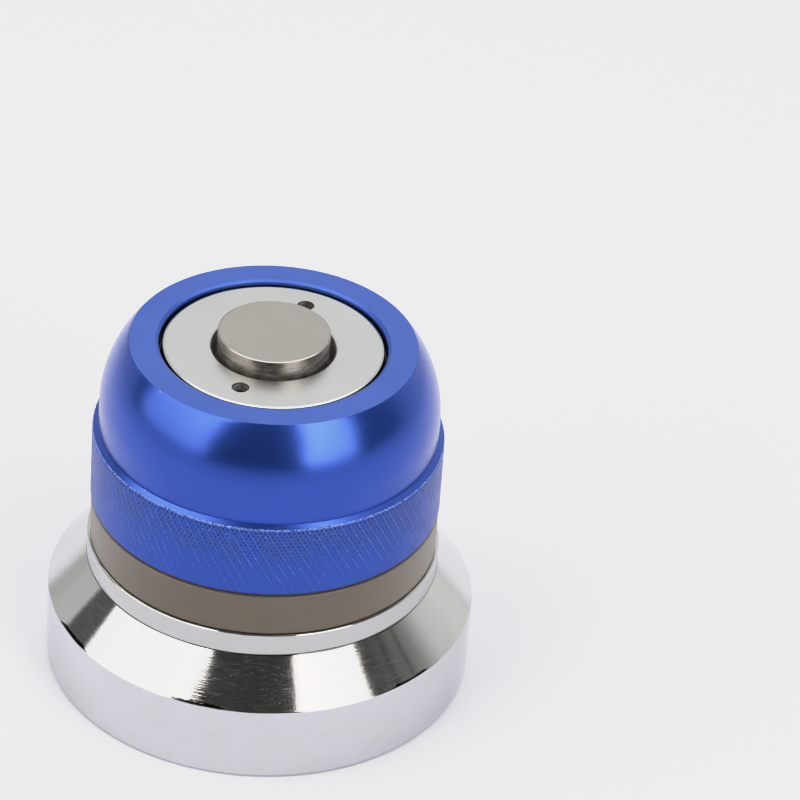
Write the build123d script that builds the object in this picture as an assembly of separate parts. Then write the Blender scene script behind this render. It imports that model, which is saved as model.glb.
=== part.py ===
from build123d import *
from math import asin, cos, degrees, radians, sin, sqrt
import os

# A tool setter: the tool is lowered on to the sprung button, and a ring of lamps lights when they touch.
# Millimetres, Z up. The origin is on the resting face, under the middle of the button.

# Outside, from the button down
HEIGHT = 50.0  # resting face to measuring face, the size that the gauge is ground to
BUTTON_PROUD = 1.75  # button above the head's flat top
DOME_H = 12.7
STEP_H = 0.4  # bevel between the grip and the dome
GRIP_H = 10.05
WASHER_T = 0.3
BAND_H = 5.9  # the part of the light ring that shows
COLLAR_H = 3.0
CONE_H = 5.5

# Outside, from the middle out
FOOT_D = 56.0
GRIP_D = 45.5
COLLAR_PROUD = 0.25  # collar beyond the grip, on the radius
BAND_INSET = 0.1
WASHER_INSET = 0.35
STEP_IN = 0.8  # dome's foot inside the grip
DOME_IN = 3.5  # edge of the flat top inside the dome's foot
DOME_R = 15.0
FLAT_W = 3.4
EDGE = 0.2  # broken edges

# Cover disc and button
DISC_T = 4.0
DISC_DROP = 0.45  # disc below the flat top
DISC_GAP = 0.6
DISC_RIM_H = 2.0  # plain rim above the disc's thread
BORE_CHAMFER = 0.35
PIN_HOLE_D = 2.05
PIN_HOLE_DEPTH = 3.0
PIN_HOLE_IN = 0.42  # spanner holes inside the middle of the disc's face
PIN_HOLE_TURN = 248.7  # degrees from +X
BUTTON_D = 14.4
BUTTON_GAP = 0.8  # disc's hole round the button
SEAT_W = 2.2  # shoulder that the disc is screwed down on
FLANGE_T = 2.5
FLANGE_GAP = 1.5
STEM_D = 6.0
STEM_PLAY = 0.03
BOSS_H = 1.0  # boss that centres the main spring
TRAVEL = 2.0
STOP_GAP = 0.2  # left between boss and bush when the button is right down

# Guide bush and springs
BUSH_WALL = 1.5
BUSH_FLANGE_T = 1.2
BUSH_REACH = 1.0  # bush below the web
STEM_REACH = 0.3  # stem below the bush
SPRING_D = 14.0  # over the middle of the wire
SPRING_WIRE = 1.0
SPRING_L = 7.3
SPRING_PITCH = 1.8
SPRING_PLAY = 0.3
CONTACT_WIRE = 0.5
CONTACT_PITCH = 1.3
CONTACT_GAP = 0.1  # contact spring off the top cell
WEB_T = 2.2

# Threaded joints, drawn as plain cylinders of the thread's outer size
GRIP_WALL = 2.75
THREAD_PLAY = 0.08
SOCKET_ROOM = 1.0  # above the light ring's upper thread
RUNOUT_W = 1.2
RUNOUT_D = 0.5
LOWER_THREAD_L = 4.5
FLOOR_ROOM = 0.4

# Light ring and seal
RING_WALL = 2.7
LEDGE_W = 3.8
LEDGE_T = 2.0
LEDGE_UP = 1.6  # ledge's top above the collar
SEAL_D = 1.2  # section of the ring seal
SEAL_ROOM = 0.04

# Base and magnet
FOOT_EDGE = 0.6
RIM_LAND = 5.0  # width of the ring that the base stands on
RELIEF_H = 0.5
MAGNET_D = 22.0
MAGNET_T = 3.0
MAGNET_SET = 0.2  # magnet's face above the relief
MAGNET_PLAY = 0.05
FLOOR_T = 2.0
CAVITY_STEP = 4.0  # cavity inside the lower thread

# Cells, holder and contacts
CELLS = 3
CELL_D = 11.6
CELL_H = 5.4
CELL_CAP_IN = 0.9
CELL_CAP_H = 0.5
CELL_PLAY = 0.2
CELL_PROUD = 1.5  # top cell above the tube, to be lifted out
HOLDER_T = 1.2
HOLDER_PLAY = 0.4
TUBE_WALL = 1.0
TUBE_SLOT_W = 5.0
STRIP_T = 0.3
STRIP_W = 3.0
STRIP_PLAY = 0.2
LEG_GAP = 0.5

# Board and fasteners
BOARD_T = 1.6
BOARD_PLAY = 0.15
LAMPS = 6
LAMP = (2.8, 3.5, 1.9)  # radial, across, high
RESISTORS = 3
RESISTOR = (1.6, 3.2, 0.6)
BOARD_SCREWS = 3
BOARD_SCREW_D = 1.6
BOARD_SCREW_L = 3.2
HOLDER_SCREW_D = 2.0
HOLDER_SCREW_L = 3.0
HOLDER_SCREW_IN = 2.6  # from the holder's rim to the screw's middle
HOLDER_SCREW_TURNS = (45, 225)
STRIP_TURN = 90
HEAD_RATIO = 1.8  # screw head to shank
HEAD_FLAT = 0.7  # height of the head to the shank's size
SCREW_PLAY = 0.1

# Heights
BUTTON_Z = HEIGHT
FLAT_Z = BUTTON_Z - BUTTON_PROUD
DOME_Z = FLAT_Z - DOME_H
GRIP_TOP_Z = DOME_Z - STEP_H
GRIP_Z = GRIP_TOP_Z - GRIP_H
BAND_TOP_Z = GRIP_Z - WASHER_T
COLLAR_TOP_Z = BAND_TOP_Z - BAND_H
COLLAR_Z = COLLAR_TOP_Z - COLLAR_H
FOOT_TOP_Z = COLLAR_Z - CONE_H
DISC_TOP_Z = FLAT_Z - DISC_DROP
DISC_Z = DISC_TOP_Z - DISC_T
FLANGE_Z = DISC_Z - FLANGE_T
WEB_TOP_Z = FLANGE_Z - SPRING_L
WEB_Z = WEB_TOP_Z - WEB_T
BUSH_TOP_Z = FLANGE_Z - BOSS_H - TRAVEL - STOP_GAP
BUSH_Z = WEB_Z - BUSH_REACH
STEM_Z = BUSH_Z - STEM_REACH
UPPER_THREAD_Z = WEB_Z - SOCKET_ROOM
LOWER_THREAD_Z = COLLAR_TOP_Z - LOWER_THREAD_L
CAVITY_TOP_Z = LOWER_THREAD_Z - FLOOR_ROOM
SEAL_Z = COLLAR_TOP_Z - SEAL_D
LEDGE_Z = COLLAR_TOP_Z + LEDGE_UP
BOARD_TOP_Z = LEDGE_Z + BOARD_T
MAGNET_TOP_Z = RELIEF_H + MAGNET_SET + MAGNET_T
CAVITY_Z = MAGNET_TOP_Z + FLOOR_T
HOLDER_TOP_Z = CAVITY_Z + HOLDER_T
CELL_Z = HOLDER_TOP_Z + STRIP_T
CELL_TOP_Z = CELL_Z + CELLS * CELL_H
TUBE_TOP_Z = CELL_TOP_Z - CELL_PROUD

# Radii
FOOT_R = FOOT_D / 2
GRIP_R = GRIP_D / 2
COLLAR_R = GRIP_R + COLLAR_PROUD
BAND_R = GRIP_R - BAND_INSET
DOME_FOOT_R = GRIP_R - STEP_IN
FLAT_R = DOME_FOOT_R - DOME_IN
BORE_R = FLAT_R - FLAT_W - BORE_CHAMFER
DISC_R = BORE_R - DISC_GAP
CHAMBER_R = BORE_R - SEAT_W
FLANGE_R = CHAMBER_R - FLANGE_GAP
BUTTON_R = BUTTON_D / 2
DISC_HOLE_R = BUTTON_R + BUTTON_GAP
PIN_CIRCLE_R = (DISC_HOLE_R + DISC_R) / 2 - PIN_HOLE_IN
STEM_R = STEM_D / 2
BUSH_R = STEM_R + BUSH_WALL
BOSS_R = (SPRING_D - SPRING_WIRE) / 2 - SPRING_PLAY
THREAD_R = GRIP_R - GRIP_WALL
SCREWED_R = THREAD_R - THREAD_PLAY  # threads that screw in, inside those of radius THREAD_R
RING_R = SCREWED_R - RING_WALL
LEDGE_R = RING_R - LEDGE_W
BOARD_R = RING_R - BOARD_PLAY
BOARD_CIRCLE_R = (LEDGE_R + BOARD_R) / 2
CAVITY_R = THREAD_R - CAVITY_STEP
MAGNET_R = MAGNET_D / 2
HOLDER_R = CAVITY_R - HOLDER_PLAY
HOLDER_CIRCLE_R = HOLDER_R - HOLDER_SCREW_IN
CELL_R = CELL_D / 2
TUBE_IN_R = CELL_R + CELL_PLAY
TUBE_R = TUBE_IN_R + TUBE_WALL
LEG_R = TUBE_R + LEG_GAP
BOARD_HOLE_R = TUBE_R + BOARD_PLAY


def turned(outline):
    """The solid that a closed outline of (radius, height) corners, or a curve, sweeps round the Z axis."""
    curve = Polyline(*outline, close=True) if isinstance(outline, list) else outline
    return revolve(Plane.XZ * make_face(curve), Axis.Z, 360)


def tube(outer_r, inner_r, low, high):
    """A plain ring between two radii and two heights."""
    return turned([(inner_r, low), (outer_r, low), (outer_r, high), (inner_r, high)])


def rod(radius, low, high, turn=0.0, circle_r=0.0):
    """An upright cylinder, on the Z axis or at an angle on a circle round it."""
    place = Pos(circle_r * cos(radians(turn)), circle_r * sin(radians(turn)), low)
    return place * Cylinder(radius, high - low, align=(Align.CENTER, Align.CENTER, Align.MIN))


def block(radial, across, low, high, turn, middle_r):
    """An upright block whose first side points away from the axis, at an angle on a circle."""
    box = Box(radial, across, high - low, align=(Align.CENTER, Align.CENTER, Align.MIN))
    return Rot(0, 0, turn) * Pos(middle_r, 0, low) * box


def evenly(count, first=0.0):
    """Angles in degrees, spaced evenly round the axis."""
    return [first + 360.0 / count * index for index in range(count)]


def screw(shank_d, length, seat_z, turn, circle_r):
    """A slotted cheese-head screw, with its head standing on the seat height and its shank below."""
    head_r = shank_d / 2 * HEAD_RATIO
    head_h = shank_d * HEAD_FLAT
    body = rod(head_r, seat_z, seat_z + head_h, turn, circle_r)
    body += rod(shank_d / 2, seat_z - length, seat_z, turn, circle_r)
    slot = block(2.2 * head_r, shank_d / 4, seat_z + head_h / 2, seat_z + 2 * head_h, turn, circle_r)
    return body - slot


def spring(middle_r, wire, low, high, pitch):
    """A spring of round wire wound at an even pitch, with both ends ground flat at the given heights."""
    length = high - low
    turns = max(1, round(length / pitch))
    path = Pos(0, 0, low) * Helix(pitch=length / turns, height=length, radius=middle_r)
    section = Plane(path @ 0, z_dir=path % 0) * Circle(wire / 2)
    coil = sweep(section, path=path, is_frenet=True)
    return coil & tube(middle_r + wire, middle_r - wire, low, high)


def base():
    """The turned foot: a land to stand on, magnet pocket, cone, collar, thread and cavity for the cells."""
    body = turned([
        (0, MAGNET_TOP_Z), (MAGNET_R + MAGNET_PLAY, MAGNET_TOP_Z), (MAGNET_R + MAGNET_PLAY, RELIEF_H),
        (FOOT_R - RIM_LAND, RELIEF_H), (FOOT_R - RIM_LAND, 0), (FOOT_R - FOOT_EDGE, 0),
        (FOOT_R, FOOT_EDGE), (FOOT_R, FOOT_TOP_Z), (COLLAR_R, COLLAR_Z), (COLLAR_R, COLLAR_TOP_Z - EDGE),
        (COLLAR_R - EDGE, COLLAR_TOP_Z), (THREAD_R + SEAL_D, COLLAR_TOP_Z), (THREAD_R + SEAL_D, SEAL_Z),
        (THREAD_R, SEAL_Z), (THREAD_R, CAVITY_TOP_Z), (CAVITY_R, CAVITY_TOP_Z), (CAVITY_R, CAVITY_Z),
        (0, CAVITY_Z),
    ])
    for turn in HOLDER_SCREW_TURNS:
        depth = CAVITY_Z - HOLDER_SCREW_L
        body -= rod(HOLDER_SCREW_D / 2, depth, CAVITY_Z, turn, HOLDER_CIRCLE_R)
    return body


def magnet():
    """The disc magnet that holds the gauge down on a steel table."""
    disc = rod(MAGNET_R, RELIEF_H + MAGNET_SET, MAGNET_TOP_Z)
    return chamfer(disc.edges().filter_by(GeomType.CIRCLE), EDGE)


def light_ring():
    """The clear plastic ring: a band that shows, a thread into the base, a thread for the head, a ledge."""
    ring = turned([
        (RING_R, LOWER_THREAD_Z), (SCREWED_R - EDGE, LOWER_THREAD_Z), (SCREWED_R, LOWER_THREAD_Z + EDGE),
        (SCREWED_R, COLLAR_TOP_Z), (BAND_R - EDGE, COLLAR_TOP_Z), (BAND_R, COLLAR_TOP_Z + EDGE),
        (BAND_R, BAND_TOP_Z - EDGE), (BAND_R - EDGE, BAND_TOP_Z), (SCREWED_R, BAND_TOP_Z),
        (SCREWED_R, UPPER_THREAD_Z - EDGE), (SCREWED_R - EDGE, UPPER_THREAD_Z), (RING_R, UPPER_THREAD_Z),
        (RING_R, LEDGE_Z), (LEDGE_R, LEDGE_Z), (LEDGE_R, LEDGE_Z - LEDGE_T), (RING_R, LEDGE_Z - LEDGE_T),
    ])
    for turn in evenly(BOARD_SCREWS):
        ring -= rod(BOARD_SCREW_D / 2, LEDGE_Z - LEDGE_T, LEDGE_Z, turn, BOARD_CIRCLE_R)
    return ring


def ring_seal():
    """The rubber ring that keeps coolant out of the joint between light ring and base."""
    section_r = SEAL_D / 2 - SEAL_ROOM
    middle = (THREAD_R + SEAL_D / 2, SEAL_Z + SEAL_D / 2)
    return revolve(Plane.XZ * Pos(*middle) * Circle(section_r), Axis.Z, 360)


def button_cell(low):
    """One button cell: the narrow negative cap below, and the can with a broken top edge."""
    return turned([
        (0, low), (CELL_R - CELL_CAP_IN, low), (CELL_R - CELL_CAP_IN, low + CELL_CAP_H),
        (CELL_R, low + CELL_CAP_H), (CELL_R, low + CELL_H - EDGE), (CELL_R - EDGE, low + CELL_H),
        (0, low + CELL_H),
    ])


def button_cells():
    """Three button cells in a stack, each with its positive side up."""
    return [button_cell(CELL_Z + index * CELL_H) for index in range(CELLS)]


def battery_holder():
    """The moulded holder: a flange screwed to the base's floor and a slotted tube round the cells."""
    holder = rod(HOLDER_R, CAVITY_Z, HOLDER_TOP_Z) + rod(TUBE_R, HOLDER_TOP_Z, TUBE_TOP_Z)
    holder -= rod(TUBE_IN_R, HOLDER_TOP_Z, TUBE_TOP_Z)
    holder -= block(2 * TUBE_R, TUBE_SLOT_W, CELL_Z + CELL_H, TUBE_TOP_Z, 0, 0)
    notch_w = STRIP_W + 2 * STRIP_PLAY
    wall_r = TUBE_R - TUBE_WALL / 2
    holder -= block(2 * TUBE_WALL, notch_w, HOLDER_TOP_Z, CELL_Z + STRIP_PLAY, STRIP_TURN, wall_r)
    for turn in HOLDER_SCREW_TURNS:
        holder -= rod(HOLDER_SCREW_D / 2 + SCREW_PLAY, CAVITY_Z, HOLDER_TOP_Z, turn, HOLDER_CIRCLE_R)
    return holder


def leg(turn):
    """The upright end of a contact strip, from the holder's flange to the board's underside."""
    return block(STRIP_T, STRIP_W, HOLDER_TOP_Z, LEDGE_Z, turn, LEG_R + STRIP_T / 2)


def negative_contact():
    """The bent strip under the cells, which leads their negative side up to the board."""
    plate = rod(CELL_R - CELL_CAP_IN, HOLDER_TOP_Z, CELL_Z)
    tail = block(LEG_R, STRIP_W, HOLDER_TOP_Z, CELL_Z, STRIP_TURN, LEG_R / 2)
    return plate + tail + leg(STRIP_TURN)


def earth_strip():
    """The bent strip under one holder screw, which leads the base's metal up to the board."""
    turn = HOLDER_SCREW_TURNS[1]
    lug = rod(HOLDER_SCREW_D, HOLDER_TOP_Z, CELL_Z, turn, HOLDER_CIRCLE_R)
    middle_r = (HOLDER_CIRCLE_R + LEG_R) / 2
    tail = block(HOLDER_CIRCLE_R - LEG_R, STRIP_W, HOLDER_TOP_Z, CELL_Z, turn, middle_r)
    hole = rod(HOLDER_SCREW_D / 2 + SCREW_PLAY, HOLDER_TOP_Z, CELL_Z, turn, HOLDER_CIRCLE_R)
    return lug + tail + leg(turn) - hole


def holder_screws():
    """The two screws of the battery holder, one of them through the earthing strip."""
    plain, earthed = HOLDER_SCREW_TURNS
    through = HOLDER_SCREW_L + HOLDER_T - SCREW_PLAY
    return [
        screw(HOLDER_SCREW_D, through, HOLDER_TOP_Z, plain, HOLDER_CIRCLE_R),
        screw(HOLDER_SCREW_D, through, CELL_Z, earthed, HOLDER_CIRCLE_R),
    ]


def lamp_board():
    """The ring-shaped circuit board that lies on the light ring's ledge."""
    board = tube(BOARD_R, BOARD_HOLE_R, LEDGE_Z, BOARD_TOP_Z)
    for turn in evenly(BOARD_SCREWS):
        board -= rod(BOARD_SCREW_D / 2 + SCREW_PLAY, LEDGE_Z, BOARD_TOP_Z, turn, BOARD_CIRCLE_R)
    return board


def lamps():
    """The lamps round the board, close behind the clear band."""
    radial, across, high = LAMP
    made = []
    for turn in evenly(LAMPS, 360.0 / LAMPS / 2):
        lamp = block(radial, across, BOARD_TOP_Z, BOARD_TOP_Z + high, turn, BOARD_CIRCLE_R)
        made.append(chamfer(lamp.faces().sort_by(Axis.Z)[-1].edges(), EDGE))
    return made


def resistors():
    """The lamps' series resistors on the board."""
    radial, across, high = RESISTOR
    middle_r = (BOARD_HOLE_R + LEDGE_R) / 2
    turns = evenly(RESISTORS, 360.0 / RESISTORS / 2)
    return [block(radial, across, BOARD_TOP_Z, BOARD_TOP_Z + high, turn, middle_r) for turn in turns]


def board_screws():
    """The screws that hold the board to the light ring's ledge."""
    turns = evenly(BOARD_SCREWS)
    return [screw(BOARD_SCREW_D, BOARD_SCREW_L, BOARD_TOP_Z, turn, BOARD_CIRCLE_R) for turn in turns]


def joint_washer():
    """The thin black washer between light ring and head, which the head bears on when screwed home."""
    return tube(GRIP_R - WASHER_INSET, THREAD_R + EDGE, BAND_TOP_Z, GRIP_Z)


def sleeve():
    """The anodised head: grip, bevel, dome and flat outside, the disc's bore, web and socket inside."""
    rise = sqrt(DOME_R**2 - (DOME_R - DOME_IN) ** 2)
    dome = CenterArc((DOME_FOOT_R - DOME_R, FLAT_Z - rise), DOME_R, 0, degrees(asin(rise / DOME_R)))
    outside = Polyline(
        (THREAD_R, GRIP_Z), (GRIP_R - EDGE, GRIP_Z), (GRIP_R, GRIP_Z + EDGE), (GRIP_R, GRIP_TOP_Z),
        (DOME_FOOT_R, DOME_Z), (DOME_FOOT_R, FLAT_Z - rise),
    )
    inside = Polyline(
        (FLAT_R, FLAT_Z), (BORE_R + BORE_CHAMFER, FLAT_Z), (BORE_R, FLAT_Z - BORE_CHAMFER),
        (BORE_R, DISC_Z), (CHAMBER_R, DISC_Z), (CHAMBER_R, WEB_TOP_Z), (BUSH_R, WEB_TOP_Z),
        (BUSH_R, WEB_Z), (THREAD_R + RUNOUT_D, WEB_Z), (THREAD_R + RUNOUT_D, WEB_Z - RUNOUT_W),
        (THREAD_R, WEB_Z - RUNOUT_W), (THREAD_R, GRIP_Z),
    )
    return turned(outside + dome + inside)


def cover_disc():
    """The steel disc screwed into the head's bore, with its button hole and two spanner holes."""
    thread_r = BORE_R - THREAD_PLAY
    disc = turned([
        (DISC_HOLE_R, DISC_Z), (thread_r, DISC_Z), (thread_r, DISC_TOP_Z - DISC_RIM_H),
        (DISC_R, DISC_TOP_Z - DISC_RIM_H), (DISC_R, DISC_TOP_Z - EDGE), (DISC_R - EDGE, DISC_TOP_Z),
        (DISC_HOLE_R + EDGE, DISC_TOP_Z), (DISC_HOLE_R, DISC_TOP_Z - EDGE),
    ])
    for turn in evenly(2, PIN_HOLE_TURN):
        disc -= rod(PIN_HOLE_D / 2, DISC_TOP_Z - PIN_HOLE_DEPTH, DISC_TOP_Z, turn, PIN_CIRCLE_R)
    return disc


def button():
    """The hardened button: measuring face, flange that bears up on the disc, spring boss and guide stem."""
    return turned([
        (0, STEM_Z), (STEM_R - EDGE, STEM_Z), (STEM_R, STEM_Z + EDGE), (STEM_R, FLANGE_Z - BOSS_H),
        (BOSS_R, FLANGE_Z - BOSS_H), (BOSS_R, FLANGE_Z), (FLANGE_R, FLANGE_Z), (FLANGE_R, DISC_Z),
        (BUTTON_R, DISC_Z), (BUTTON_R, BUTTON_Z - EDGE), (BUTTON_R - EDGE, BUTTON_Z), (0, BUTTON_Z),
    ])


def guide_bush():
    """The bronze bush pressed into the web, which guides the stem and stops the button at full travel."""
    inner_r = STEM_R + STEM_PLAY
    return turned([
        (inner_r, BUSH_Z), (BUSH_R, BUSH_Z), (BUSH_R, WEB_TOP_Z), (BOSS_R - SPRING_PLAY, WEB_TOP_Z),
        (BOSS_R - SPRING_PLAY, WEB_TOP_Z + BUSH_FLANGE_T), (BUSH_R, WEB_TOP_Z + BUSH_FLANGE_T),
        (BUSH_R, BUSH_TOP_Z), (inner_r, BUSH_TOP_Z),
    ])


def main_spring():
    """The spring that holds the button up against the disc."""
    return spring(SPRING_D / 2, SPRING_WIRE, WEB_TOP_Z, FLANGE_Z, SPRING_PITCH)


def contact_spring():
    """The light spring from the head down to the top cell, centred on the bush's lower end."""
    middle_r = BUSH_R + CONTACT_WIRE / 2 + CONTACT_GAP
    return spring(middle_r, CONTACT_WIRE, CELL_TOP_Z + CONTACT_GAP, WEB_Z, CONTACT_PITCH)


PARTS = [
    base, magnet, light_ring, ring_seal, battery_holder, button_cells, negative_contact, earth_strip,
    holder_screws, lamp_board, lamps, resistors, board_screws, joint_washer, sleeve, cover_disc, button,
    guide_bush, main_spring, contact_spring,
]

os.makedirs("parts", exist_ok=True)
for make in PARTS:
    made = make()
    solids = made if isinstance(made, list) else [made]
    shape = Compound(children=[solid for piece in solids for solid in piece.solids()])
    export_step(shape, f"parts/{make.__name__}.step")
    print(f"{make.__name__}: {len(shape.solids())} solid, {shape.volume:.0f} mm3")
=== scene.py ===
# %% [markdown]
# # A tool setter, dressed for its picture
# A tool setter stands on a machine's table. The tool comes down on the sprung button, and a ring of lamps
# lights up through the smoked band when they touch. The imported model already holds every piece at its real
# size. This file gives the pieces their finishes, cuts the knurl and the thread that the solids leave out,
# and lights them. Everything is in one frame: the resting face is at height 0 and the button's axis is the
# Z axis.

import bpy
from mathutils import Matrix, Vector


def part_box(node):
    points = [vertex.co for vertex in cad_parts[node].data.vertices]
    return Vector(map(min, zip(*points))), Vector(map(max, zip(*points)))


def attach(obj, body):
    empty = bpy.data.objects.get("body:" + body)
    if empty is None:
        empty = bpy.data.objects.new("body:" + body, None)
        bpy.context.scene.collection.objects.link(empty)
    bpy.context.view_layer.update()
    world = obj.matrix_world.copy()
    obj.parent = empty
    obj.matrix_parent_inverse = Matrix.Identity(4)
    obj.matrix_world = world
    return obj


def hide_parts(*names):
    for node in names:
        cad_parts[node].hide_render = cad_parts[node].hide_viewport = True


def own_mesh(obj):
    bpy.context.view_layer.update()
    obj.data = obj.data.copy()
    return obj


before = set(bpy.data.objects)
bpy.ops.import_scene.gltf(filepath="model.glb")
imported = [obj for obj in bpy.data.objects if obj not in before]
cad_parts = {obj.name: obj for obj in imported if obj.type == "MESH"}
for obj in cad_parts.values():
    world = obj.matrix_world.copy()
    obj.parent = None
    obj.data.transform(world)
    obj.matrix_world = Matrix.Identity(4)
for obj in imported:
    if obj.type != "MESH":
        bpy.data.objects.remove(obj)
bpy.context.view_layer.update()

# %% Blender's own tools and the few maths functions that the pieces need
from math import atan, ceil, cos, floor, hypot, pi, radians, sin

import bmesh
import bpy
import numpy as np
from mathutils import Matrix, Vector

MM = 0.001
scene = bpy.context.scene

# %% [markdown]
# ## The camera
# The photograph was taken with a long lens, from half a metre away and a little above. A camera was fitted
# to the circles that the edges of the base, band, grip, dome and button make in the picture. The fit gave
# its distance, its height, its tilt to the side, and how far the picture was framed to the right of the
# gauge. Turning the camera makes that framing, so it needs no lens shift.

# %% Set up the camera
FOCAL_PX = 4383.0
PHOTO_PX = 800
SENSOR_W = 36.0
CAMERA_DISTANCE = 571.1
CAMERA_ELEVATION = 35.17
CAMERA_ROLL = 3.21
AIM_HEIGHT = 25.0
TURN_PX = (-134.6, 92.0)  # how far the aim stands from the middle of the picture, across and down


def camera_axes():
    """The camera's right, down and forward directions, as the rows of a matrix."""
    elevation, roll = radians(CAMERA_ELEVATION), radians(CAMERA_ROLL)
    forward = Vector((0, cos(elevation), -sin(elevation)))
    right = Vector((1, 0, 0))
    level = Matrix((right, forward.cross(right), forward))
    rolled = Matrix(((cos(roll), -sin(roll), 0), (sin(roll), cos(roll), 0), (0, 0, 1)))
    across, down = (atan(shift / FOCAL_PX) for shift in TURN_PX)
    turn_across = Matrix(((cos(across), 0, sin(across)), (0, 1, 0), (-sin(across), 0, cos(across))))
    turn_down = Matrix(((1, 0, 0), (0, cos(down), sin(down)), (0, -sin(down), cos(down))))
    return turn_across @ turn_down @ rolled @ level


def set_up_camera():
    """A long lens at the photograph's place, turned as the photograph was framed."""
    right, down, forward = camera_axes()
    elevation = radians(CAMERA_ELEVATION)
    away = Vector((0, -cos(elevation), sin(elevation))) * CAMERA_DISTANCE
    camera = bpy.data.objects.new("camera", bpy.data.cameras.new("camera"))
    scene.collection.objects.link(camera)
    place = Matrix((right, -down, -forward)).transposed().to_4x4()
    place.translation = (Vector((0, 0, AIM_HEIGHT)) + away) * MM
    camera.matrix_world = place
    camera.data.sensor_width = SENSOR_W
    camera.data.lens = FOCAL_PX / PHOTO_PX * SENSOR_W
    camera.data.clip_start, camera.data.clip_end = 0.01, 20
    scene.camera = camera
    return camera


camera = set_up_camera()
print(f"lens {camera.data.lens:.1f} mm, {CAMERA_DISTANCE:.0f} mm from the gauge")

# %% [markdown]
# ## Small helpers for node trees
# Blender mixes colours and numbers in trees of nodes. The same three moves come again and again: make a
# node, feed one of its inputs, and do a sum. Short helpers keep the recipes below close to how a finish
# would be described.

# %% Node helpers


def node(tree, kind, **settings):
    """A new shader node of that kind, with its settings."""
    made = tree.nodes.new("ShaderNode" + kind)
    for name, value in settings.items():
        setattr(made, name, value)
    return made


def feed(tree, socket, value):
    """Gives an input a fixed value, or another node's output."""
    if isinstance(value, bpy.types.NodeSocket):
        tree.links.new(value, socket)
    else:
        socket.default_value = value


def calc(tree, operation, *values):
    """The result of one sum on numbers or outputs."""
    made = node(tree, "Math", operation=operation)
    for socket, value in zip(made.inputs, values):
        feed(tree, socket, value)
    return made.outputs[0]


def total(tree, *terms):
    """The sum of outputs or numbers, each given with its factor."""
    result = 0.0
    for value, factor in terms:
        result = calc(tree, "MULTIPLY_ADD", value, factor, result)
    return result


def ease(tree, value, start, end, low=0.0, high=1.0):
    """Goes smoothly from low to high while the value goes from start to end, and stays there."""
    made = node(tree, "MapRange", interpolation_type="SMOOTHSTEP", clamp=True)
    for socket, given in zip(made.inputs, (value, start, end, low, high)):
        feed(tree, socket, given)
    return made.outputs[0]


def blend_values(tree, share, first, second):
    """A number between two others: the first at share 0, the second at share 1."""
    made = node(tree, "Mix", data_type="FLOAT")
    for socket, given in zip(made.inputs[0:1] + made.inputs[2:4], (share, first, second)):
        feed(tree, socket, given)
    return made.outputs[0]


def mix_colours(tree, share, first, second):
    """A colour between two others."""
    made = node(tree, "Mix", data_type="RGBA")
    for socket, value in zip((made.inputs[0], made.inputs[6], made.inputs[7]), (share, first, second)):
        feed(tree, socket, (*value, 1) if isinstance(value, tuple) else value)
    return made.outputs[2]


# %% [markdown]
# ## The studio
# Polished metal shows its surroundings more than its own colour, so the light is designed as what the
# metal would mirror: a tall soft box on each side, a dark gap between them where the camera stands, shade
# beyond the boxes, pale walls behind, and a lamp high up behind the gauge, which draws the bright lines
# along the upper edges. Drawn as a sky, each box has an edge that is a plane through the gauge: the sign
# of a sum of the three parts of the direction says on which side of the edge a ray goes. The edges bend a
# little with height, as on a real box, whose cloth is drawn in between its corners. A box is brightest
# beside the gap, where its lamp is, and it fades towards its far side and along its lower edge. The boxes
# are a little warm and the walls are white.

# %% The studio's numbers
LEFT_BOX = (3.2, 4.75)  # light low down and high up, where a white wall has 1
RIGHT_BOX = (6.1, 6.6)
BOX_HEIGHTS = (0.17, 0.60)  # heights of a direction between which a box goes from one light to the other
HEM = (0.0, 0.15)  # heights between which a box fades in along its lower edge
HEM_LIGHT = 0.25
LEFT_FALL = (0.05, 0.40, 1.0, 0.66)  # two distances from the inner edge, and the share of the light at each
RIGHT_FALL = (0.0, 0.45, 1.0, 0.66)
LEFT_SOFT = (0.02, 0.03)  # how soft the left box's inner and outer edges are
RIGHT_SOFT = (0.012, 0.012)
GAP = 0.045  # light between the boxes
STRIP = 0.12  # light in the strip beside the left box
STRIP_EDGE = (-0.26, -0.22)  # how far past that box's outer edge the wall goes over into the strip
LEFT_WALL = ((90, 0.72), (124, 0.72), (145, 0.80), (180, 0.96))  # degrees from the front, light
LEFT_WALL_LOW = ((90, 0.72), (124, 0.68), (134, 0.56), (145, 0.42), (180, 0.70))
LEFT_WALL_HEIGHTS = (0.1, 0.4)  # heights between which the low wall goes over into the high one
RIGHT_SHADE = (
    (70, 0.07), (74, 0.085), (77, 0.125), (79.4, 0.12), (80.6, 0.05), (81.8, 0.12), (85, 0.18), (88.4, 0.20),
    (89.9, 0.09), (91.4, 0.22), (94.5, 0.29), (97, 0.33),
)
RIGHT_WALL = RIGHT_SHADE + ((108, 0.79), (124, 0.93), (180, 0.96))
HALVES_MEET = 0.15  # how far to either side of the middle the two halves run into each other
TOP_LAMP = 3.0
LAMP_BACK = (0.15, 0.24)  # the lamp comes in as a direction's part to the back goes through these
LAMP_UP = (0.70, 0.78)
LAMP_SIDES = (0.32, 0.42)  # and goes out as its part to either side goes through these
BOX_TINT = (1.0, 0.94, 0.88)
TINTED_FROM = (1.0, 2.2)  # lights between which the tint comes in
BACKDROP = (0.9, 0.9, 0.93)

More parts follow.
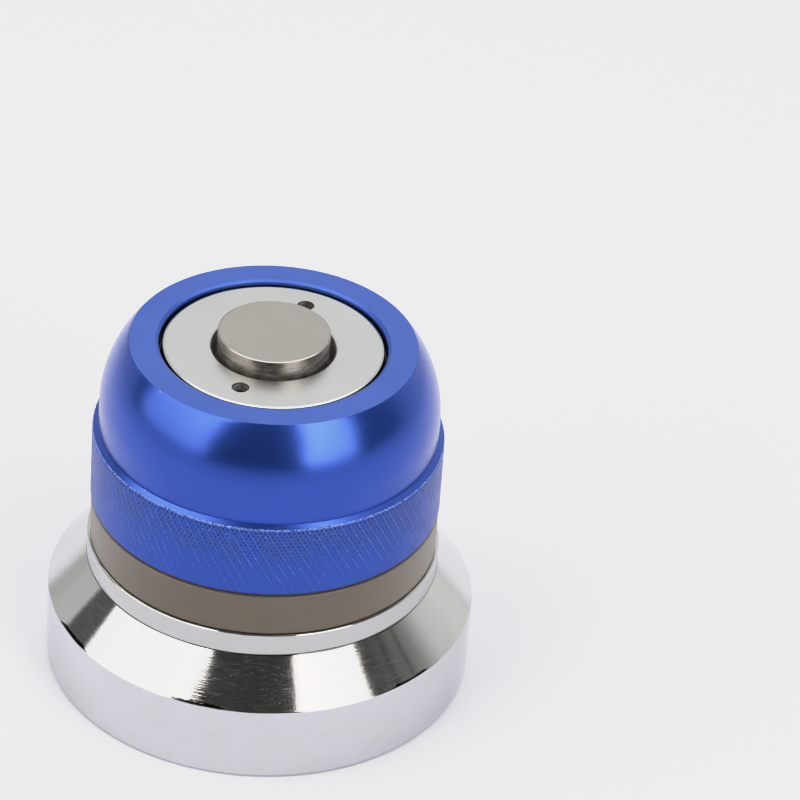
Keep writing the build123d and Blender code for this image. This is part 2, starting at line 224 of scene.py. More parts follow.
# %% The edges of the boxes
# A plane is what it takes of right, front and up, then a shift. A bend is two heights and the shift at each.
# A lean is a height, and how much further out the edge goes for each step above it.
LEFT_INNER = (-1.0, 0.0, 0.5, -0.70)
LEFT_INNER_BENDS = ((0.05, 0.4, 0.0, -0.08), (0.64, 0.70, 0.0, 0.065))
LEFT_OUTER = (0.0, 1.0, 0.5, -0.05)
LEFT_OUTER_BENDS = ((0.2, 0.4, 0.07, -0.03),)
LEFT_OUTER_LEAN = (0.43, 0.22)
RIGHT_INNER = (1.0, 0.0, 0.29, -0.48)
RIGHT_INNER_BENDS = ((0.1, 0.5, 0.03, -0.04),)
RIGHT_INNER_LEAN = (0.75, 0.12)
RIGHT_OUTER = (-0.402, 0.697, 0.176, -0.008)
RIGHT_OUTER_BENDS = ((0.05, 0.25, 0.0, -0.03), (0.54, 0.60, 0.0, -0.02))
RIGHT_OUTER_LEAN = (0.624, 0.36)


def inside_edge(tree, place, plane, bends, lean=(1.0, 0.0)):
    """How far a direction, as (right, front, up), is on the box's side of one of its edges."""
    up = place[2]
    inside = calc(tree, "ADD", total(tree, *zip(place, plane[:3])), plane[3])
    for bend in bends:
        inside = calc(tree, "ADD", inside, ease(tree, up, *bend))
    start, share = lean
    above = calc(tree, "MAXIMUM", calc(tree, "SUBTRACT", up, start), 0.0)
    return calc(tree, "MULTIPLY_ADD", above, share, inside)


# %% The two halves of the studio


def wall_light(tree, turn, rungs):
    """The light of a wall, which goes evenly from rung to rung of (turn in degrees, light)."""
    ramp = node(tree, "ValToRGB")
    feed(tree, ramp.inputs[0], calc(tree, "DIVIDE", turn, pi))
    stops = ramp.color_ramp.elements
    for _ in rungs[2:]:
        stops.new(0.5)
    for stop, (degrees, light) in zip(stops, rungs):
        stop.position = degrees / 180
        stop.color = (light, light, light, 1)
    return ramp.outputs[0]


def box_light(tree, up, fall, lights):
    """A box's light, from its two lights by height. It falls to the far side and fades at the lower edge."""
    light = calc(tree, "MULTIPLY", fall, ease(tree, up, *BOX_HEIGHTS, *lights))
    return calc(tree, "MULTIPLY", light, ease(tree, up, *HEM, HEM_LIGHT, 1.0))


def side_of_box(tree, inner, outer, box, beyond, soft):
    """One half of the studio: the gap, the box past its inner edge, and what is past its outer edge."""
    in_box = ease(tree, inner, -soft[0], soft[0])
    in_front = ease(tree, outer, -soft[1], soft[1])
    return blend_values(tree, in_front, beyond, blend_values(tree, in_box, GAP, box))


def left_half(tree, place, turn):
    """The left soft box, then a dark strip along its far edge and the wall past that."""
    up = place[2]
    low_wall, high_wall = (wall_light(tree, turn, rungs) for rungs in (LEFT_WALL_LOW, LEFT_WALL))
    wall = blend_values(tree, ease(tree, up, *LEFT_WALL_HEIGHTS), low_wall, high_wall)
    outer = inside_edge(tree, place, LEFT_OUTER, LEFT_OUTER_BENDS, LEFT_OUTER_LEAN)
    beyond = ease(tree, outer, *STRIP_EDGE, wall, STRIP)
    inner = inside_edge(tree, place, LEFT_INNER, LEFT_INNER_BENDS)
    box = box_light(tree, up, ease(tree, inner, *LEFT_FALL), LEFT_BOX)
    return side_of_box(tree, inner, outer, box, beyond, LEFT_SOFT)


def right_half(tree, place, turn):
    """The right soft box, then shade that opens to the wall behind."""
    outer = inside_edge(tree, place, RIGHT_OUTER, RIGHT_OUTER_BENDS, RIGHT_OUTER_LEAN)
    inner = inside_edge(tree, place, RIGHT_INNER, RIGHT_INNER_BENDS, RIGHT_INNER_LEAN)
    box = box_light(tree, place[2], ease(tree, inner, *RIGHT_FALL), RIGHT_BOX)
    return side_of_box(tree, inner, outer, box, wall_light(tree, turn, RIGHT_WALL), RIGHT_SOFT)


# %% The whole sky


def studio_sky():
    """The light from every direction. Past the floor's edge a camera sees a plain pale backdrop."""
    world = bpy.data.worlds.new("studio")
    world.use_nodes = True
    tree = world.node_tree
    tree.nodes.clear()
    split = node(tree, "SeparateXYZ")
    tree.links.new(node(tree, "TexCoord").outputs["Generated"], split.inputs[0])
    right, back, up = split.outputs
    front = calc(tree, "MULTIPLY", back, -1.0)
    sideways = calc(tree, "ABSOLUTE", right)
    turn = calc(tree, "ARCTAN2", sideways, front)
    halves = [half(tree, (right, front, up), turn) for half in (left_half, right_half)]
    light = blend_values(tree, ease(tree, right, -HALVES_MEET, HALVES_MEET), *halves)
    in_lamp = calc(tree, "MULTIPLY", ease(tree, back, *LAMP_BACK), ease(tree, up, *LAMP_UP))
    in_lamp = calc(tree, "MULTIPLY", in_lamp, ease(tree, sideways, *LAMP_SIDES, 1.0, 0.0))
    light = blend_values(tree, in_lamp, light, TOP_LAMP)
    boxes = node(tree, "Background")
    tint = mix_colours(tree, ease(tree, light, *TINTED_FROM), (1.0, 1.0, 1.0), BOX_TINT)
    feed(tree, boxes.inputs["Color"], tint)
    tree.links.new(light, boxes.inputs["Strength"])
    backdrop = node(tree, "Background")
    backdrop.inputs["Color"].default_value = (*BACKDROP, 1)
    seen = node(tree, "MixShader")
    tree.links.new(node(tree, "LightPath").outputs["Is Camera Ray"], seen.inputs[0])
    tree.links.new(boxes.outputs[0], seen.inputs[1])
    tree.links.new(backdrop.outputs[0], seen.inputs[2])
    tree.links.new(seen.outputs[0], node(tree, "OutputWorld").inputs[0])
    return world


scene.world = studio_sky()
print("studio: boxes at", LEFT_BOX, "and", RIGHT_BOX, "times the light of a white wall")

# %% [markdown]
# A camera rounds off its brightest tones, so that white card and polished metal keep some drawing.
# Blender's plain view cuts them off at white instead. A curve on the picture does the rounding: it leaves
# everything up to a mid grey as it is and then bends over gently.

# %% The picture's tone curve
CURVE_WHITE = 4.0
TONES = ((0.6, 0.6), (1.0, 0.82), (1.5, 0.86), (2.6, 0.89), (3.6, 0.95))  # light, and the tone shown for it


def set_tones():
    """Rounds off the highlights, and leaves the darker tones alone."""
    view = scene.view_settings
    view.view_transform = "Standard"
    view.look = "None"
    view.use_curve_mapping = True
    mapping = view.curve_mapping
    mapping.white_level = (CURVE_WHITE,) * 3
    curve = mapping.curves[3]
    for light, shown in TONES:
        curve.points.new(light / CURVE_WHITE, shown)
    curve.points[0].handle_type = "VECTOR"
    curve.points[1].handle_type = "VECTOR"
    mapping.update()
    return [tuple(round(value, 3) for value in point.location) for point in curve.points]


print("tone curve:", set_tones())

# %% [markdown]
# ## Building turned pieces
# Nearly every outer piece came off a lathe, so its mesh is a stack of rings round the axis, joined by
# strips of faces. Two things make this better than spinning a profile: a ring may have its own radius at
# every point, which gives worn edges and the knurl, and two neighbours may have different numbers of
# points, which keeps the fine mesh where the detail is.

# %% Rings and strips
COLUMNS = 240
WELD = 1e-6  # distance in metres within which points become one
SHARP_ANGLE = 17  # degrees from which an edge is a corner


def ring(radius, height, count=COLUMNS, turn=0.0):
    """Points round the axis, in mm. Radius and height are numbers, or one value for each point."""
    if np.ndim(radius) == 0 and radius == 0:
        return np.array([[0.0, 0.0, height]]), 0.0
    angles = 2 * pi * (np.arange(count) + turn) / count
    radii, heights = np.broadcast_to(radius, count), np.broadcast_to(height, count)
    return np.stack([radii * np.cos(angles), radii * np.sin(angles), heights], 1), turn


def strip(low, high, low_turn, high_turn):
    """Faces between two rings of point numbers: squares if they match, else triangles that zip them up."""
    n, m = len(low), len(high)
    if n == m and low_turn == high_turn:
        return [(low[i], low[(i + 1) % n], high[(i + 1) % n], high[i]) for i in range(n)]
    faces = []
    i = j = 0
    while i < n * (n > 1) or j < m * (m > 1):
        low_next = (i + 0.5 + low_turn) / n if i < n and n > 1 else 2.0
        high_next = (j + 0.5 + high_turn) / m if j < m and m > 1 else 2.0
        if low_next <= high_next:
            faces.append((low[i % n], low[(i + 1) % n], high[j % m]))
            i += 1
        else:
            faces.append((low[i % n], high[(j + 1) % m], high[j % m]))
            j += 1
    return faces


def skin(rings, closed=True):
    """One patch of mesh, as points and faces, over a stack of rings. If closed, the last joins the first."""
    points, faces, numbers = [], [], []
    for ring_points, _ in rings:
        numbers.append(list(range(len(points), len(points) + len(ring_points))))
        points.extend(ring_points)
    pairs = list(zip(range(len(rings) - 1), range(1, len(rings))))
    if closed and len(rings[0][0]) > 1:
        pairs.append((len(rings) - 1, 0))
    for a, b in pairs:
        faces += strip(numbers[a], numbers[b], rings[a][1], rings[b][1])
    return points, faces


def build(name, *patches):
    """A mesh object from patches whose meeting edges are welded, smooth except along its sharp corners."""
    made = bmesh.new()
    for points, faces in patches:
        verts = [made.verts.new(Vector(point) * MM) for point in points]
        for face in faces:
            made.faces.new([verts[number] for number in face])
    bmesh.ops.remove_doubles(made, verts=made.verts, dist=WELD)
    bmesh.ops.dissolve_degenerate(made, edges=made.edges, dist=WELD)
    bmesh.ops.recalc_face_normals(made, faces=made.faces)
    mesh = bpy.data.meshes.new(name)
    made.to_mesh(mesh)
    made.free()
    piece = bpy.data.objects.new(name, mesh)
    scene.collection.objects.link(piece)
    soften(piece)
    return piece


def soften(piece):
    """Smooth shading that stops at corners and leaves large flat faces flat right up to their edges."""
    piece.data.polygons.foreach_set("use_smooth", [True] * len(piece.data.polygons))
    piece.data.set_sharp_from_angle(angle=radians(SHARP_ANGLE))
    weighted = piece.modifiers.new("flat_faces_stay_flat", "WEIGHTED_NORMAL")
    weighted.keep_sharp = True


def rounded(before, corner, after, size, steps=4):
    """A corner of an outline eased over that size, one point a step. Size may differ round the piece."""
    before, corner, after = (np.array(point, float) for point in (before, corner, after))
    back = (before - corner) / np.linalg.norm(before - corner)
    ahead = (after - corner) / np.linalg.norm(after - corner)
    size = np.asarray(size, float)
    found = []
    for step in range(steps + 1):
        share = step / steps
        shift = [back[axis] * (1 - share) ** 2 + ahead[axis] * share**2 for axis in (0, 1)]
        found.append((corner[0] + shift[0] * size, corner[1] + shift[1] * size))
    return found


widest_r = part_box("base")[1].x / MM
sag = widest_r * (1 - cos(pi / COLUMNS))
print(f"rings of {COLUMNS} points: the sides of the widest one lie {sag:.4f} mm inside its circle")

# %% [markdown]
# ## Holes, finishes and bodies
# Each new piece is finished in the same few steps. Holes are cut with a boolean. Its faces may have
# several finishes, because a turned face and a ground face of one piece look different, so a test of each
# face's radius, height and slope picks the finish. Then the piece is tied to a body, so that it moves as
# the gauge works.

# %% Shared steps for every new piece
HOLE_SIDES = 32


def drill(piece, holes, mouth=0.0, face=0.0, marks=()):
    """Cuts round holes, each (x, y, radius, low, high) in mm, with a chamfer where they meet a top face.

    The wall gets an extra row of edges at each mark, a depth in mm below that face.
    """
    patches = []
    for x, y, radius, low, high in holes:
        sides = [(radius, low), (radius, high)]
        if mouth:
            sides[1:] = [(radius, face - mouth), (radius + mouth, face), (radius + mouth, high)]
            sides[1:1] = [(radius, face - mark) for mark in marks]
        points, faces = skin([ring(0, low)] + [ring(*side, HOLE_SIDES) for side in sides] + [ring(0, high)])
        patches.append(([(px + x, py + y, pz) for px, py, pz in points], faces))
    cutter = build("cutter", *patches)
    boolean = piece.modifiers.new("holes", "BOOLEAN")
    boolean.object, boolean.operation, boolean.solver = cutter, "DIFFERENCE", "EXACT"
    evaluated = piece.evaluated_get(bpy.context.evaluated_depsgraph_get())
    drilled = bpy.data.meshes.new_from_object(evaluated)
    piece.modifiers.clear()
    piece.data = drilled
    bpy.data.objects.remove(cutter)
    soften(piece)
    return len(holes)


def finish_faces(piece, *choices):
    """Gives each face the first finish whose test of (radius, height, slope) it passes, sizes in mm."""
    for material, _ in choices:
        piece.data.materials.append(material)
    for face in piece.data.polygons:
        radius, height = hypot(face.center.x, face.center.y) / MM, face.center.z / MM
        passed = [number for number, (_, test) in enumerate(choices) if test(radius, height, face.normal.z)]
        face.material_index = passed[0]


def settle(piece, body, slot, *nodes):
    """Ties a finished piece to its body and hides the solids that it stands for. The slot is not used."""
    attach(piece, body)
    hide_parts(*nodes)
    print(f"{piece.name}: {len(piece.data.polygons)} faces, moves with {body}")


def always(radius, height, slope):
    """The test that every face passes."""
    return True


# %% [markdown]
# ## Recipes for finishes
# A lathe leaves fine rings in whatever it cuts, and grinding leaves fine scratches. Both are drawn by
# noise that is stretched: very fine across the marks and long along them. On a turned piece, height minus
# radius changes along any outline of this gauge, so it is the fine direction, and the direction from the
# axis is the long one.

# %% Coordinates and shared recipe steps
FINE = 1.0 / MM
ON_AXIS = 1e-5  # radius in metres that stands in for 0, which can't be divided by


def split_place(tree):
    """The three parts of the place on the piece."""
    split = node(tree, "SeparateXYZ")
    tree.links.new(node(tree, "TexCoord").outputs["Object"], split.inputs[0])
    return split.outputs


def from_axis(tree, x, y):
    """How far a place is from the axis."""
    return calc(tree, "SQRT", calc(tree, "ADD", calc(tree, "MULTIPLY", x, x), calc(tree, "MULTIPLY", y, y)))


def turned_place(tree, along, across):
    """A place for noise that draws turning marks: slow round the axis, fine across the rings, per mm."""
    x, y, z = split_place(tree)
    radius = from_axis(tree, x, y)
    safe = calc(tree, "MAXIMUM", radius, ON_AXIS)
    join = node(tree, "CombineXYZ")
    feed(tree, join.inputs[0], calc(tree, "MULTIPLY", calc(tree, "DIVIDE", x, safe), along))
    feed(tree, join.inputs[1], calc(tree, "MULTIPLY", calc(tree, "DIVIDE", y, safe), along))
    feed(tree, join.inputs[2], calc(tree, "MULTIPLY", calc(tree, "SUBTRACT", z, radius), across * FINE))
    return join.outputs[0]


def scaled_place(tree, x_scale, y_scale, z_scale):
    """The place on the piece, stretched, in repeats per mm."""
    mapping = node(tree, "Mapping", vector_type="POINT")
    tree.links.new(node(tree, "TexCoord").outputs["Object"], mapping.inputs["Vector"])
    mapping.inputs["Scale"].default_value = [scale * FINE for scale in (x_scale, y_scale, z_scale)]
    return mapping.outputs[0]


def even_place(tree, per_mm):
    """The place on the piece, with as many repeats per mm in every direction."""
    return scaled_place(tree, per_mm, per_mm, per_mm)


def noise(tree, place, detail=3.0, rough=0.5):
    """Cloudy noise from 0 to 1, about its middle value on average."""
    made = node(tree, "TexNoise")
    tree.links.new(place, made.inputs["Vector"])
    made.inputs["Scale"].default_value = 1.0
    made.inputs["Detail"].default_value = detail
    made.inputs["Roughness"].default_value = rough
    return made.outputs["Fac"]


def bump(tree, height, depth_mm, normal=None):
    """A surface normal pushed about by a height pattern of that depth in mm."""
    made = node(tree, "Bump")
    made.inputs["Distance"].default_value = depth_mm * MM
    feed(tree, made.inputs["Height"], height)
    if normal is not None:
        tree.links.new(normal, made.inputs["Normal"])
    return made.outputs[0]


def specks(tree, per_mm, size, rarity):
    """Small round specks, sharp and scattered: 1 inside one and 0 outside."""
    cells = node(tree, "TexVoronoi")
    tree.links.new(even_place(tree, 1), cells.inputs["Vector"])
    cells.inputs["Scale"].default_value = per_mm
    inside = calc(tree, "LESS_THAN", cells.outputs["Distance"], size)
    pick = node(tree, "SeparateColor")
    tree.links.new(cells.outputs["Color"], pick.inputs[0])
    return calc(tree, "MULTIPLY", inside, calc(tree, "GREATER_THAN", pick.outputs[0], rarity))


def new_finish(name, **fixed):
    """A new material, its tree and its shader, whose fixed values are given by the names of sockets."""
    material = bpy.data.materials.new(name)
    material.use_nodes = True
    tree = material.node_tree
    shader = tree.nodes["Principled BSDF"]
    for socket, value in fixed.items():
        shader.inputs[socket.replace("_", " ")].default_value = value
    return material, tree, shader


# %% [markdown]
# ## Bright nickel-chrome on the base
# The base is steel, turned and then plated, so it mirrors like a mirror with fine turning rings under the
# plate. The rings tilt the mirrored picture up and down, which frays the edges of the dark gap in the
# cone. Small pits in the plate catch light in the dark parts, and in three places along the foot of the
# cone dark patches are painted into its colour. One recipe makes four finishes, which differ only in how
# much of each colour of light the plate sends back: the foot's; the cone's, tinted a little warmer as a
# painted warm cast from the soft boxes that it mirrors; the collar's, a little darker and warmer than the
# foot's; and that of the corner between cone and collar, painted dark as a thin line of painted shade.

# %% Chrome finish
CHROME = (0.59, 0.594, 0.62)
CHROME_DARK = (0.565, 0.58, 0.585)
WARM_CAST_SHARES = (1.0, 0.985, 0.93)  # shares of red, green and blue light that come back on the cone, tinted warm: a painted warm cast
# the collar's shares: a little darker and warmer than the foot's
COLLAR_SHARES = (0.84, 0.84, 0.79)
# painted shade: the inside corner between cone and collar is painted dark
CORNER_SHADE = (0.2, 0.2, 0.19)
# dark patches painted along the cone's lower edge
EDGE_PATCH_COLOUR = (0.03, 0.03, 0.03)
EDGE_PATCHES = ((-15, 12, 0.55), (46, 11, 0.5), (-59, 11, 0.7))  # degrees from the front, half width, mm tall
EDGE_PATCH_MIDDLE = 0.35  # share of the half width over which a mark is at its tallest
EDGE_PATCH_RAGGED = 0.5  # mm that its upper edge wavers
FOOT_TOP = 10.4
EDGE_PATCH_FOOT = FOOT_TOP + 0.08  # where they start, above the eased edge


def dark_edge_patches(tree):
    """1 inside the dark patches painted along the cone's lower edge."""
    x, y, z = split_place(tree)
    turn = calc(tree, "MULTIPLY", calc(tree, "ARCTAN2", x, calc(tree, "MULTIPLY", y, -1.0)), 180 / pi)
    above = calc(tree, "SUBTRACT", calc(tree, "DIVIDE", z, MM), EDGE_PATCH_FOOT)
    ragged = noise(tree, scaled_place(tree, 1.4, 1.4, 5.0), detail=3.0, rough=0.6)
    ragged = calc(tree, "MULTIPLY", ragged, EDGE_PATCH_RAGGED)
    found = 0.0
    for centre, half, tall in EDGE_PATCHES:
        off = calc(tree, "ABSOLUTE", calc(tree, "SUBTRACT", turn, float(centre)))
        reach = calc(tree, "SUBTRACT", ease(tree, off, EDGE_PATCH_MIDDLE * half, half, tall, 0.0), ragged)
        found = calc(tree, "MAXIMUM", found, ease(tree, calc(tree, "SUBTRACT", reach, above), 0.0, 0.06))
    return calc(tree, "MULTIPLY", found, ease(tree, above, -0.03, 0.03))


def chromed_steel(name, shares=(1.0, 1.0, 1.0)):
    """Plated steel over turning marks. The shares are the red, green and blue light that it sends back."""
    material, tree, shader = new_finish(name)
    rings = noise(tree, turned_place(tree, along=8.0, across=3.0), detail=3.0, rough=0.6)
    clouds = noise(tree, even_place(tree, 0.25), detail=4.0)
    pits = specks(tree, per_mm=3.0, size=0.15, rarity=0.7)
    scratches = noise(tree, turned_place(tree, along=14.0, across=6.0), detail=3.0, rough=0.7)
    scuffs = ease(tree, scratches, 0.5, 0.75)
    dark, pale = (
        tuple(share * part for share, part in zip(shares, colour)) for colour in (CHROME_DARK, CHROME)
    )
    plate = mix_colours(tree, ease(tree, clouds, 0.3, 0.7), dark, pale)
    feed(tree, shader.inputs["Base Color"], mix_colours(tree, dark_edge_patches(tree), plate, EDGE_PATCH_COLOUR))
    haze = total(tree, (pits, 0.13), (scuffs, 0.07), (clouds, 0.008))
    feed(tree, shader.inputs["Metallic"], calc(tree, "SUBTRACT", 1.0, haze))
    marked = total(tree, (pits, 0.12), (scuffs, 0.05))
    unmarked = ease(tree, clouds, 0.25, 0.8, 0.055, 0.095)
    feed(tree, shader.inputs["Roughness"], calc(tree, "ADD", marked, unmarked))
    rippled = bump(tree, rings, 0.008)
    dimpled = bump(tree, noise(tree, even_place(tree, 3.5), detail=2.0), 0.002, rippled)
    feed(tree, shader.inputs["Normal"], dimpled)
    return material


chrome = chromed_steel("chromed_steel")
# the cone's plate is tinted warm: a painted warm cast from the soft boxes that it mirrors
cone_chrome = chromed_steel("chromed_steel_warm_cast", WARM_CAST_SHARES)
collar_chrome = chromed_steel("chromed_steel_collar", COLLAR_SHARES)
# the corner's plate is painted dark: painted shade in the inside corner
corner_chrome = chromed_steel("chromed_steel_corner_shade", CORNER_SHADE)
print("made", chrome.name, cone_chrome.name, collar_chrome.name, corner_chrome.name)

# %% [markdown]
# ## The base
# The base is one turned piece: a heavy foot with a cone above it, a short collar, and a bore into which
# the light ring screws. A pocket underneath holds a magnet. Its edges were eased by hand before plating,
# and unevenly: along the foot of the cone a narrow band swells and thins, and mirrors other things than
# the cone does. So that edge is eased by a size that wanders round the piece, with more taken off in a few
# places.

# %% Base
FOOT_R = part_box("base")[1].x / MM
COLLAR_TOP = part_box("base")[1].z / MM
CONE_TOP = 15.9
COLLAR_R = 23.0
THREAD_R = 20.0
SEAL_W = 1.2
LOWER_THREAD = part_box("light_ring")[0].z / MM
CAVITY_TOP = LOWER_THREAD - 0.4
CAVITY_R = 16.0
CAVITY_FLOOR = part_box("battery_holder")[0].z / MM
LAND_R = 23.0
RELIEF = 0.5
POCKET_R = 11.05
POCKET_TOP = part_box("magnet")[1].z / MM
FOOT_EDGE = 0.6
FOOT_EASE = (3, 30, 0.05, 0.17)  # seed, waves, least and most in mm
CONE_EASE = (8, 17, 0.06, 0.20)
COLLAR_EASE = (5, 60, 0.08, 0.24)
DRESSED_PLACES = (30, 120, 208, 251, 259, 312)  # degrees round the foot's edge where more was taken off
DRESSED_SPREAD = 8
DRESSED_MORE = 0.15
EASED = 0.3  # no edge round the collar is eased by more, in mm
CONE_SLOPE = 0.6  # the cone's faces look up by more than this share
WALL_SLOPE = 0.15  # an upright wall's faces look up by less
HOLDER_SCREWS = [(turn, 13.0, 1.0) for turn in (45, 225)]  # degrees, circle's radius, hole's radius
HOLDER_SCREW_DEPTH = 3.0


def wander(seed, waves, low, high):
    """A value that wanders smoothly between two limits round a ring, the same on every run."""
    draw = np.random.default_rng(seed)
    angles = 2 * pi * np.arange(COLUMNS) / COLUMNS
    sizes = draw.uniform(0.4, 1.0, waves)
    phases = draw.uniform(0, 2 * pi, waves)
    cycles = enumerate(zip(sizes, phases), 1)
    value = sum(size * np.sin(count * angles + phase) for count, (size, phase) in cycles)
    return low + (high - low) * (value - value.min()) / (value.max() - value.min())


def dressed(places, spread, size):
    """A size that swells near some places round a ring, given in degrees from the +X side."""
    angles = 360 * np.arange(COLUMNS) / COLUMNS
    off = [(angles - place + 180) % 360 - 180 for place in places]
    return size * sum(np.exp(-((turn / spread) ** 2)) for turn in off)


def base_rings():
    """The base's outline from the middle of its pocket, round the outside, to the cavity's floor."""
    wall, cone = (FOOT_R, FOOT_TOP), (COLLAR_R, CONE_TOP)
    rim = (COLLAR_R, COLLAR_TOP)
    foot_ease = wander(*FOOT_EASE) + dressed(DRESSED_PLACES, DRESSED_SPREAD, DRESSED_MORE)
    outline = [(0, POCKET_TOP), (POCKET_R, POCKET_TOP), (POCKET_R, RELIEF), (LAND_R, RELIEF), (LAND_R, 0)]
    outline += rounded((LAND_R, 0), (FOOT_R, 0), wall, FOOT_EDGE, 8)
    outline += rounded((FOOT_R, 0), wall, cone, foot_ease, 1)
    outline += rounded(wall, cone, rim, wander(*CONE_EASE), 1)
    outline += rounded(cone, rim, (THREAD_R, COLLAR_TOP), wander(*COLLAR_EASE), 3)
    outline += [(THREAD_R + SEAL_W, COLLAR_TOP), (THREAD_R + SEAL_W, COLLAR_TOP - SEAL_W)]
    outline += [(THREAD_R, COLLAR_TOP - SEAL_W), (THREAD_R, CAVITY_TOP), (CAVITY_R, CAVITY_TOP)]
    outline += [(CAVITY_R, CAVITY_FLOOR), (0, CAVITY_FLOOR)]
    return [ring(radius, height) for radius, height in outline]


def around(turn, circle_r, radius, low, high):
    """A hole at an angle in degrees on a circle round the axis, as drill() takes it."""
    return circle_r * cos(radians(turn)), circle_r * sin(radians(turn)), radius, low, high


def on_collar(radius, height, slope):
    """True on the collar's upright wall, whose finish is a little darker and warmer than the foot's."""
    return radius > COLLAR_R - EASED and height > CONE_TOP


def on_cone(radius, height, slope):
    """True on the cone, whose colour is tinted a little warmer as a painted warm cast."""
    return slope > CONE_SLOPE and FOOT_TOP < height < CONE_TOP


def in_the_corner(radius, height, slope):
    """True in the inside corner where the collar stands on the cone, painted dark as a thin line of painted
    shade.
    """
    near = abs(radius - COLLAR_R) < EASED and abs(height - CONE_TOP) < EASED
    return near and WALL_SLOPE < slope < CONE_SLOPE


base = build("plated_base", skin(base_rings()))
drill(base, [around(*hole, CAVITY_FLOOR - HOLDER_SCREW_DEPTH, CAVITY_FLOOR + 1) for hole in HOLDER_SCREWS])
finish_faces(base, (corner_chrome, in_the_corner), (collar_chrome, on_collar), (cone_chrome, on_cone),
             (chrome, always))
settle(base, "base", "chromed_steel", "base")

# %% [markdown]
# ## The floor
# A white table, lit by the same boxes. The chromed foot mirrors it, so its tone sets the foot's tone. Its
# tone is painted greyer away from the gauge, as painted shade where the boxes light it less.

# %% Floor
FLOOR_COLOUR = (0.59, 0.605, 0.695)
FLOOR_FAR = 0.66  # share of its tone that is left far from the gauge: painted shade where the boxes light it less
FLOOR_LIT = (0.10, 0.45)  # metres from the axis between which its tone falls to that
FLOOR_R = 3000.0


def white_table():
    """Matt white with a trace of mottling, and painted shade that greys it far from the gauge."""
    material, tree, shader = new_finish("white_table", Roughness=0.9)
    clouds = noise(tree, even_place(tree, 0.004), detail=2.0)
    x, y, z = split_place(tree)
    away = from_axis(tree, x, y)
    paler, far = (tuple(share * part for part in FLOOR_COLOUR) for share in (0.99, FLOOR_FAR))
    colour = mix_colours(tree, clouds, paler, FLOOR_COLOUR)
    # painted shade: the tone falls to its far share away from the gauge
    feed(tree, shader.inputs["Base Color"], mix_colours(tree, ease(tree, away, *FLOOR_LIT), colour, far))
    return material


floor_disc = build("floor", skin([ring(0, 0.0), ring(FLOOR_R, 0.0)], closed=False))
floor_disc.data.materials.append(white_table())
print("floor:", len(floor_disc.data.polygons), "faces")

# %% [markdown]
# ## The thread between light ring and head
# The head screws on to the light ring with a thread of one millimetre a turn. It shows when the head is
# unscrewed to change the cells. Its mesh follows the helix: each point of a column stands a little higher
# than the same point of the column before it, and after a whole turn the rows meet one thread further up.
# Both halves use the same heights, so they stay in mesh while the head climbs one pitch with every turn.

# %% Thread patch
PITCH = 1.0
THREAD_SHAPE = ((0.0, 0.0), (0.25, 0.0), (0.5625, 1.0), (0.6875, 1.0))  # share of the pitch, of the depth
MALE_CREST = 19.92
MALE_ROOT = 19.38
FEMALE_CREST = 19.46
FEMALE_ROOT = 20.0


def thread(low, high, inner_r, outer_r, end_r):
    """A helical patch between two heights, which runs out to the end radius at both of them."""
    steps = len(THREAD_SHAPE)
    first = floor(low / PITCH) - 1
    rows = steps * (ceil(high / PITCH) + 1 - first)
    points, faces = [], []
    for column in range(COLUMNS):
        angle = 2 * pi * column / COLUMNS
        for row in range(rows):
            part, share = THREAD_SHAPE[row % steps]
            height = PITCH * (first + row // steps + part + column / COLUMNS)
            height = min(max(height, low), high)
            room = min(height - low, high - height) / (outer_r - inner_r)
            radius = inner_r + (outer_r - inner_r) * share
            limit = end_r + (radius - end_r) * min(1.0, max(0.0, room))
            points.append((limit * cos(angle), limit * sin(angle), height))
    for column in range(COLUMNS):
        after = (column + 1) % COLUMNS
        lift = steps if after == 0 else 0
        for row in range(rows - 1):
            here = [column * rows + row, column * rows + row + 1]
            there = [after * rows + min(row + lift + step, rows - 1) for step in (1, 0)]
            corners = [here[0], there[1], there[0], here[1]]
            if len(set(corners)) > 2:
                faces.append(tuple(dict.fromkeys(corners)))
    return points, faces


print(f"thread: {PITCH:.0f} mm a turn, {MALE_CREST - MALE_ROOT:.2f} mm deep")

# %% [markdown]
# ## The light ring
# The band that shows is smoked plastic, dull from its mould, with a brown-grey colour that hides the lamps
# when they are off. Light sinks a little way into it, so it has some subsurface scattering as well as a
# satin surface. Fine mould lines run round it, and its colour is painted a little paler away from the
# front, a painted sheen for the side light that grazes it.

# %% Smoked plastic
SMOKE = (0.078, 0.063, 0.046)
SMOKE_PALE = (0.136, 0.122, 0.098)
PAINTED_SHEEN_Y = (-22.0, -7.0)  # y in mm between which the painted sheen goes from none at the front to full


def smoked_plastic():
    """Satin smoked plastic, painted paler away from the front as a painted sheen."""
    material, tree, shader = new_finish(
        "smoked_plastic", IOR=1.49, Subsurface_Weight=0.25, Subsurface_Scale=0.002, Coat_Weight=0.0
    )
    shader.inputs["Subsurface Radius"].default_value = (1.0, 0.8, 0.6)
    clouds = noise(tree, scaled_place(tree, 0.12, 0.12, 0.3), detail=3.0)
    rings = noise(tree, turned_place(tree, along=3.0, across=7.0), detail=3.0)
    # painted sheen: the colour goes paler away from the front
    away = ease(tree, split_place(tree)[1], *(place * MM for place in PAINTED_SHEEN_Y))
    share = total(tree, (clouds, 0.35), (away, 0.75))
    feed(tree, shader.inputs["Base Color"], mix_colours(tree, share, SMOKE, SMOKE_PALE))
    feed(tree, shader.inputs["Roughness"], ease(tree, rings, 0.2, 0.8, 0.32, 0.42))
    grain = bump(tree, noise(tree, even_place(tree, 9), detail=2.0), 0.002)
    feed(tree, shader.inputs["Normal"], bump(tree, rings, 0.0025, grain))
    return material


smoke = smoked_plastic()
print("made", smoke.name)

